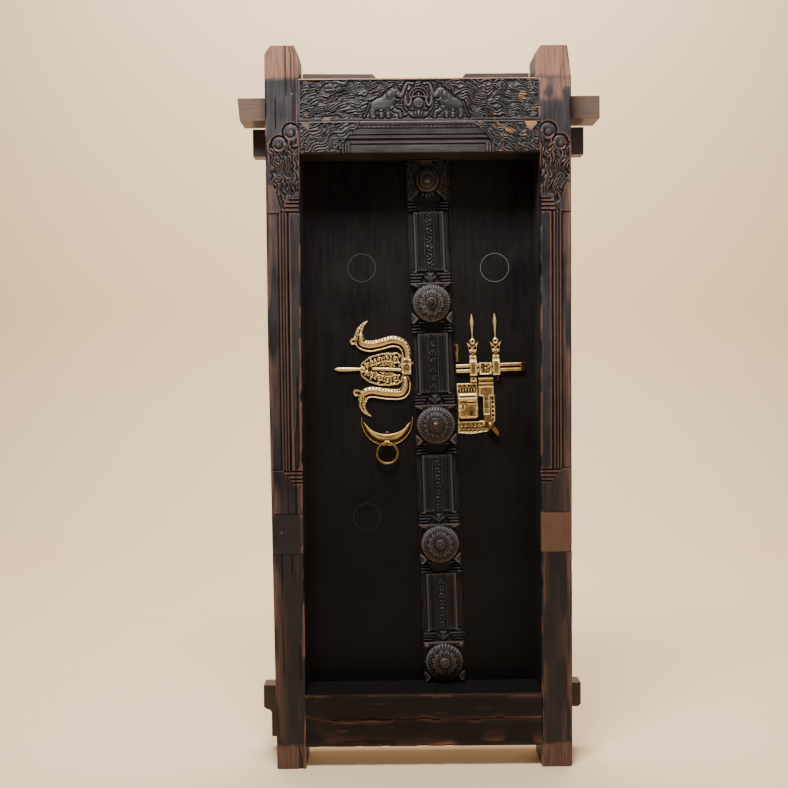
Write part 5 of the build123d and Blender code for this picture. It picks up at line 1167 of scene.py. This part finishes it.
CRESCENT_X = -102
crescent = brass_field(-186, -18, 940, 1044)
x, z = crescent.x, crescent.z
outer = 78.5 - np.hypot(x - CRESCENT_X, z - 1024.5)
inner = np.hypot(x - CRESCENT_X, z - 1065) - 83.5
peak = to_outline(x, z, [(CRESCENT_X + dx, peak_z) for dx, peak_z in (
    (-18, 980), (-6, 985), (0, 991), (6, 985), (18, 980), (18, 972), (-18, 972))])
crescent.inside = np.maximum(np.minimum(np.minimum(outer, inner), 1040 - z), peak)
ridge = np.hypot(x - CRESCENT_X, z - 1033) - 66
crescent.h = np.where(ridge < 0, 9.0 + 0.12 * ridge, 9.0 - 0.62 * ridge)
crescent.h = np.clip(crescent.h, 3.2, 10) - 2.5 * np.exp(-np.clip(inner, 0, 99) / 1.5)
crescent.h = np.where((outer > 0) & (outer < 2.2), np.maximum(crescent.h, 5.0), crescent.h)
piece = cast_piece("crescent_cast", crescent, LEAF_FRONT)
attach(piece, "left_leaf")
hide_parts("crescent_handle")

SKIN = 0.6
end_low, end_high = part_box("hasp_end")
end_x, z0, z1 = end_low.x / MM, end_low.z / MM, end_high.z / MM
end = brass_field(end_x - 3, end_x + 34, z0 - 3, z1 + 3)
outline = [(end_x, z0 + 6), (end_x + 8, z0), (end_x + 30, z0), (end_x + 30, z1 - 5), (end_x + 24, z1),
           (end_x, z1)]
plate(end, outline, 0.8)
for lift in (4, 27, 40):
    end.ridge([(end_x + 1, z0 + lift, 1.2), (end_x + 14, z0 + lift + 5, 1.8),
               (end_x + 29, z0 + lift + 2, 1.4)], 0.9, 0.7)
end.h -= 1.1 * noise(end.x + 99, end.z, 4, 4, 91)
end.inside = to_outline(end.x, end.z, outline)
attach(cast_piece("hasp_end_cast", end, (end_low.y - FACE_Y) / MM, SKIN), "left_leaf")

RING_TURNS, WIRE_TURNS = 72, 14
ring_low, ring_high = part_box("pull_ring")
ring_wire = (ring_high.y - ring_low.y) / 2
ring_reach = (ring_high.x - ring_low.x) / 2 - ring_wire
ring_at = (ring_low + ring_high) / 2
points = []
for a in np.arange(RING_TURNS) * 2 * math.pi / RING_TURNS:
    for b in np.arange(WIRE_TURNS) * 2 * math.pi / WIRE_TURNS:
        reach = ring_reach + ring_wire * math.cos(b)
        points.append((ring_at.x + reach * math.cos(a), ring_at.y + ring_wire * math.sin(b),
                       ring_at.z + reach * math.sin(a)))
faces = []
for i in range(RING_TURNS):
    here, after = i * WIRE_TURNS, (i + 1) % RING_TURNS * WIRE_TURNS
    for j in range(WIRE_TURNS):
        side = (j + 1) % WIRE_TURNS
        faces.append((here + j, here + side, after + side, after + j))
ring = solid("ring_wire", points, faces, BRASS)
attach(ring, "pull_ring")
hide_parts("pull_ring")
dress(BRASS, "hasp_end", "ring_staple", "left_rivets")


# The brass set of the right leaf: a sliding bolt in two keepers with spear tips, a chased plate
# over it, and a hanging hasp over a lock case in its pierced border.
EDGE_X = 113.4
FRAME_FACE, LOOP_FACE, EAR_FACE, BOLT_FACE, HASP_FACE = 148.0, 134.2, 147.0, 137.6, 139.0
BOLT_Z, BOLT_LONG, BOLT_THICK = 1177.0, 209.0, 10.0
HASP_Z, STAPLE_Z = 1128.3, 1142.2
CREST_Z, GRILLE_Z, GRILLE_PITCH, BORDER_PITCH = 1124, 1110, 8.4, 14
CASE_RISE = 17


def raised_rim(relief, rise, inset, soft):
    """Raises a soft line a little inside the outline."""
    relief.h = relief.h + rise * np.exp(-np.abs(relief.inside - inset) / soft)


def oblong(x, z, a, b):
    """The corners of an upright oblong about its middle."""
    return [(x - a, z - b), (x + a, z - b), (x + a, z + b), (x - a, z + b)]


lock_frame = brass_field(110, 234, 972, 1136)
x0, x1 = EDGE_X + 1, EDGE_X + 117
plate(lock_frame, [(x0, 980), (x0 + 40, 976), (x1 - 24, 982), (x1, 1016), (x1, 1094), (x1 - 15, 1094),
                   (x1 - 15, 1022), (x1 - 27, 1016), (x0 + 5, 1016), (x0 + 5, 1028), (x0 + 60, 1028),
                   (x0 + 60, 1100), (x0 + 64, 1100), (x0 + 64, 1132), (x0, 1132)], 2.0)
for k in range(4):
    pierce(lock_frame, oval(lock_frame, x0 + 9 + k * 15, CREST_Z, 4.0, 3.0, 90))
for k in range(7):
    pierce(lock_frame, oval(lock_frame, x0 + 7 + k * GRILLE_PITCH, GRILLE_Z, 1.5, 5.2))
    lock_frame.blob(x0 + 3 + k * GRILLE_PITCH, GRILLE_Z, 1.8, 4.8, 0, 1.6, 1.8)
for k in range(6):
    hole_x, hand = x0 + 10 + k * BORDER_PITCH, 1 if k % 2 else -1
    pierce(lock_frame, oval(lock_frame, hole_x, 986, 3.4, 2.6))
    lock_frame.scroll(hole_x, 1003, 5.5, 2.6, 80 * k, hand, 2.0, 1.4, turns=1.0, leaves=3)
    pierce(lock_frame, oval(lock_frame, hole_x + 7, 996, 1.7, 2.8))
for k in range(5):
    pierce(lock_frame, oval(lock_frame, x1 - 7.5, 1030 + k * 13.5, 3.0, 4.2))
raised_rim(lock_frame, 0.9, 1.6, 0.8)
piece = cast_piece("lock_frame_cast", lock_frame, LEAF_FRONT, lean=True)
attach(piece, "right_leaf")
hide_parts("lock_frame")

case = brass_field(111, 182, 1020, 1106)
x0, x1, z0, z1 = EDGE_X + 1.5, EDGE_X + 64.5, 1024.0, 1102.0
key_x, key_z = x1 - 22, z0 + 21
plate(case, [(x0, z0 + 6), (x0 + 6, z0), (x1 - 6, z0), (x1, z0 + 6), (x1, z1 - 12), (x1 + 1.5, z1 - 6),
             (x1 - 4, z1), (x0 + 4, z1), (x0 - 1, z1 - 6), (x0, z1 - 12)], CASE_RISE)
rim = np.clip(case.inside, 0, 99)
case.h = np.where(rim > 0, CASE_RISE - 6 * np.exp(-rim / 2.6), case.h)
band = np.abs(case.z - (z1 - 19))
case.h = np.where((rim > 0) & (band < 6), case.h + 2.8 * np.sqrt(np.clip(1 - (band / 6) ** 2, 0, 1)), case.h)
for sx, sz, r, start, hand in ((x0 + 10, z0 + 12, 6, 30, 1), (x0 + 26, z0 + 10, 6, 200, -1),
                               (x0 + 8, z0 + 30, 5, 90, 1), (x1 - 8, z0 + 10, 5, 10, 1),
                               (x1 - 8, z0 + 34, 6, 100, -1), (x0 + 28, z0 + 26, 6, 0, 1),
                               (x0 + 8, z1 - 34, 5, 0, -1), (x0 + 27, z1 - 36, 5, 120, 1)):
    for k in range(20):
        angle, reach = math.radians(start) + hand * k / 20 * 6.5, r * (1 - 0.7 * k / 20)
        case.cut([(sx + reach * math.cos(angle), sz + reach * math.sin(angle), 1.1)], 1.2)
for cx, cz, a, b in ((x1 - 22, z1 - 29, 14, 2.0), (x0 + 16, z0 + 37, 2.0, 9.5)):
    case.h -= 9 * np.clip(oval(case, cx, cz, a, b) / 0.8, 0, 1)
pierce(case, oval(case, key_x, key_z, 4.8, 4.8))
pierce(case, to_outline(case.x, case.z, [(key_x - 2, key_z - 1), (key_x + 2, key_z - 1),
                                         (key_x + 3.4, key_z - 13), (key_x - 3.4, key_z - 13)]))
piece = cast_piece("lock_case_cast", case, FRAME_FACE, lean=True)
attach(piece, "right_leaf")
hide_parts("lock_case")

KEEPERS = (("left", EDGE_X + 53.5), ("right", EDGE_X + 123.5))
EYE_PROFILE = ((0, 2.0), (2.4, 2.0), (3.2, 7.0), (5, 8.4), (7.4, 7.6), (9.2, 6.4))
EYE_REACH = EYE_PROFILE[-1][0]
for side, cx in KEEPERS:
    loop = brass_field(cx - 14, cx + 14, BOLT_Z - 26, BOLT_Z + 26)
    plate(loop, oblong(cx, BOLT_Z, 11.5, 23), 1.2)
    line = np.abs(np.abs(loop.z - BOLT_Z - 4) - 14) < 0.9
    loop.h = loop.h - 0.9 * line - 0.5 * noise(loop.x, loop.z, 5, 5, 92)
    raised_rim(loop, 0.9, 2, 0.9)
    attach(cast_piece(f"{side}_keeper_loop", loop, LOOP_FACE, SKIN, lean=True), "right_leaf")
    ear = brass_field(cx - 22, cx + 22, BOLT_Z + 20, BOLT_Z + 172)
    base, top = BOLT_Z + 23, BOLT_Z + 81
    half = [(11.5, base), (10.3, base + 10), (11.5, base + 24), (12.6, base + 40), (18.5, top),
            (EYE_REACH, top - 8)]
    outline = [(cx + dx, z) for dx, z in half] + [(cx, top + 2)] + [(cx - dx, z) for dx, z in half[::-1]]
    plate(ear, outline, 1.4)
    rim = to_outline(ear.x, ear.z, outline)
    ear.h[(rim > 0) & (rim < 2.2)] = 2.4
    for step in range(3):
        ear.stroke([(cx + k, base + 11 + 18 * step, 1.5) for k in range(-9, 10)], 1.4, 1.2)
    # Painted shade: the triangular pits and the middle of the eye are darkened to look like shaded piercings.
    dirt_and_shade = 0 * ear.x
    for hand in (-1, 1):
        ear.ridge([(cx + hand * 9, base + 46, 1.6), (cx, base + 38, 1.6),
                   (cx + hand * 9, base + 30, 1.6)], 1.4, 1.2)
    for hand, rise in ((-1, 20), (-1, 38), (1, 20), (1, 38)):
        hx, hz = cx + hand * 5.8, base + rise
        pit = to_outline(ear.x, ear.z, [(hx + hand * 4.6, hz + 6), (hx + hand * 4.6, hz - 6),
                                        (hx - hand * 4.2, hz)])
        ear.h[pit > 0] = 0.3
        dirt_and_shade = dirt_and_shade + 2.0 * ramp(pit, -0.4, 0.5)
    eye = np.hypot(ear.x - cx, ear.z - top)
    ear.inside = np.maximum(ear.inside, EYE_REACH - eye)
    ear.h = np.where(eye < EYE_REACH, np.interp(eye, *zip(*EYE_PROFILE)), ear.h)
    dirt_and_shade = dirt_and_shade + 2.0 * ramp(-eye, -3.4, -2.6)
    ear.ridge([(cx, top + 8, 3.4), (cx, top + 20, 2.6), (cx, top + 44, 4.4), (cx, top + 60, 6.0),
               (cx, top + 74, 3.6), (cx, top + 86, 0.6)], 3.6, 0.6)
    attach(cast_piece(f"{side}_keeper_ear", ear, EAR_FACE, SKIN, lean=True, dirt_and_shade=dirt_and_shade), "right_leaf")

cx, cz = EDGE_X + 90, BOLT_Z - 1.5
chased = brass_field(cx - 23, cx + 23, cz - 21, cz + 21)
outline = oblong(cx, cz, 20, 18.5)
plate(chased, outline, 0.9)
for turn in range(0, 360, 60):
    chased.leaf(cx, cz, 15, 9, turn + 20, 1.6, 0.7, curl=0.4)
chased.blob(cx, cz, 3.2, 3.2, 0, 2.8, 0.6)
for sx, sz, start in ((-14, -12, 0), (14, -12, 180), (-14, 12, 90), (14, 12, 270)):
    chased.scroll(cx + sx, cz + sz, 4.5, 2.2, start, 1, 1.4, 0.8, turns=1.0, leaves=0)
chased.inside = to_outline(chased.x, chased.z, outline)
raised_rim(chased, 1.2, 1.4, 0.8)
dirt_and_shade = 0.9 * ramp(noise(chased.x + 50, chased.z, 6, 6, 93), 0.5, 0.8)
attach(cast_piece("keeper_plate_chasing", chased, LOOP_FACE, SKIN, lean=True, dirt_and_shade=dirt_and_shade), "right_leaf")

x0, x1 = EDGE_X + 1, EDGE_X + 1 + BOLT_LONG
rails = brass_field(x0 - 3, x1 + 3, BOLT_Z - 16, BOLT_Z + 16)
plate(rails, [(x0, BOLT_Z - 13), (x1, BOLT_Z - 13), (x1, BOLT_Z + 13), (x0, BOLT_Z + 13)], -0.05)
across = np.abs(rails.z - BOLT_Z)
groove = (across < 2.6) & (rails.x < x1 - 13)
rails.h = np.where(groove, -3.0, -0.05 - 1.6 * np.abs((across - 7.8) / 5.2) ** 3)
rails.h = np.where(rails.x > x1 - 13, -0.6 + 0.5 * (np.abs(rails.x - x1 + 11) < 1.4), rails.h)
# Darker in the bolt's groove and towards its far end.
dirt_and_shade = 1.6 * groove + 0.35 * ramp(rails.x, x0 + 120, x0 + 150)
piece = cast_piece("bolt_rails", rails, BOLT_FACE, BOLT_THICK, lean=True, dirt_and_shade=dirt_and_shade)
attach(piece, "lock_bolt")
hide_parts("lock_bolt")

top, low, end = HASP_Z - 6.6, HASP_Z - 37.6, HASP_Z - 95
outline = [(cx - 23, top), (cx + 23, top), (cx + 23, low), (cx + 10.5, low), (cx + 10.5, end),
           (cx - 10.5, end), (cx - 10.5, low), (cx - 23, low)]
hanging = brass_field(cx - 26, cx + 26, end - 3, top + 3)
plate(hanging, outline, 0.9)
for shift in (-5.5, 5.5):
    hanging.cut([(cx + shift, z, 1.1) for z in np.arange(end + 4, low - 2, 1.0)], 0.8)
for rise in (14, 20, 44):
    hanging.cut([(cx + k, end + rise, 1.0) for k in np.arange(-9.0, 9.5, 0.5)], 0.7)
raised_rim(hanging, 0.9, 1.6, 0.9)
hanging.h -= 0.5 * noise(hanging.x, hanging.z, 8, 8, 94)
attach(cast_piece("hasp_face", hanging, HASP_FACE, SKIN, lean=True), "hasp")

cx, cz = EDGE_X + 53, STAPLE_Z
staple = brass_field(cx - 12, cx + 12, cz - 10, cz + 10)
outline = oblong(cx, cz, 10, 7.7)
plate(staple, outline, 0.8)
staple.ridge([(cx - 8, cz + 6, 1.6), (cx, cz - 5, 1.8), (cx + 8, cz + 6, 1.6)], 2.0, 0.6)
staple.stroke([(cx + k, cz + 6, 1.2) for k in range(-8, 9)], 1.6, 0.6)
staple.inside = to_outline(staple.x, staple.z, outline)
# A dark round spot in the middle of the staple.
dirt_and_shade = 1.2 * (np.hypot(staple.x - cx, staple.z - cz - 2) < 3)
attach(cast_piece("bolt_staple_face", staple, HASP_FACE, SKIN, lean=True, dirt_and_shade=dirt_and_shade), "right_leaf")
dress(BRASS, "left_keeper", "right_keeper", "keeper_plate", "side_ear", "bolt_staple", "hasp_hinge",
      "hasp_pin", "hasp", "hook", "right_nails", "lock_pin")


# The camera at the photograph's angle, a pale floor with a pale backdrop, and soft studio light.
CAMERA_AT = (-0.090, -3.574, 1.258)
CAMERA_YAW, CAMERA_PITCH, CAMERA_ROLL = 0.244, -2.445, -0.476
CAMERA_LENS = 54.2
CAMERA_SHIFT = -0.0022
camera = bpy.data.objects.new("camera", bpy.data.cameras.new("camera"))
bpy.context.scene.collection.objects.link(camera)
camera.data.sensor_width = 36
camera.data.lens = CAMERA_LENS
camera.data.shift_x = CAMERA_SHIFT
camera.location = CAMERA_AT
camera.rotation_mode = "QUATERNION"
camera.rotation_quaternion = (Quaternion((0, 0, 1), math.radians(-CAMERA_YAW))
                              @ Quaternion((1, 0, 0), math.radians(90 + CAMERA_PITCH))
                              @ Quaternion((0, 0, 1), math.radians(CAMERA_ROLL)))
bpy.context.scene.camera = camera

BACKDROP_WIDE, BACKDROP_NEAR, BACKDROP_FAR, BACKDROP_TALL, BEND = 16.0, -6.0, 4.8, 7.0, 1.5
sweep = [(BACKDROP_NEAR, 0.0)]
sweep += [(BACKDROP_FAR - BEND + BEND * math.sin(a), BEND - BEND * math.cos(a))
          for a in np.linspace(0, math.pi / 2, 14)]
sweep += [(BACKDROP_FAR, BACKDROP_TALL)]
points = [(side * BACKDROP_WIDE / 2, y, z) for y, z in sweep for side in (-1, 1)]
faces = [(2 * k, 2 * k + 1, 2 * k + 3, 2 * k + 2) for k in range(len(sweep) - 1)]
backdrop = solid("backdrop", points, faces, plain_coat("pale_paper", (0.86, 0.63, 0.39, 1), 0.0, 0.9))

world = bpy.data.worlds.new("studio")
bpy.context.scene.world = world
world.use_nodes = True
world.node_tree.nodes["Background"].inputs["Color"].default_value = (0.92, 0.95, 1.0, 1)
world.node_tree.nodes["Background"].inputs["Strength"].default_value = 0.1
for name, spot, aim, size, power in (("key", (-0.3, -1.45, 3.75), (0, 0, 1.5), 0.9, 190),
                                     ("side", (2.4, -3.2, 2.6), (0, 0, 1.4), 1.5, 24),
                                     ("paper", (0.0, 2.0, 6.0), (0, 4.8, 1.6), 4.0, 620)):
    light = bpy.data.objects.new(name, bpy.data.lights.new(name, "AREA"))
    bpy.context.scene.collection.objects.link(light)
    light.data.size = size
    light.data.energy = power
    light.location = spot
    dx, dy, dz = (b - a for a, b in zip(spot, aim))
    light.rotation_euler = (math.atan2(math.hypot(dx, dy), -dz), 0, math.atan2(-dx, dy))
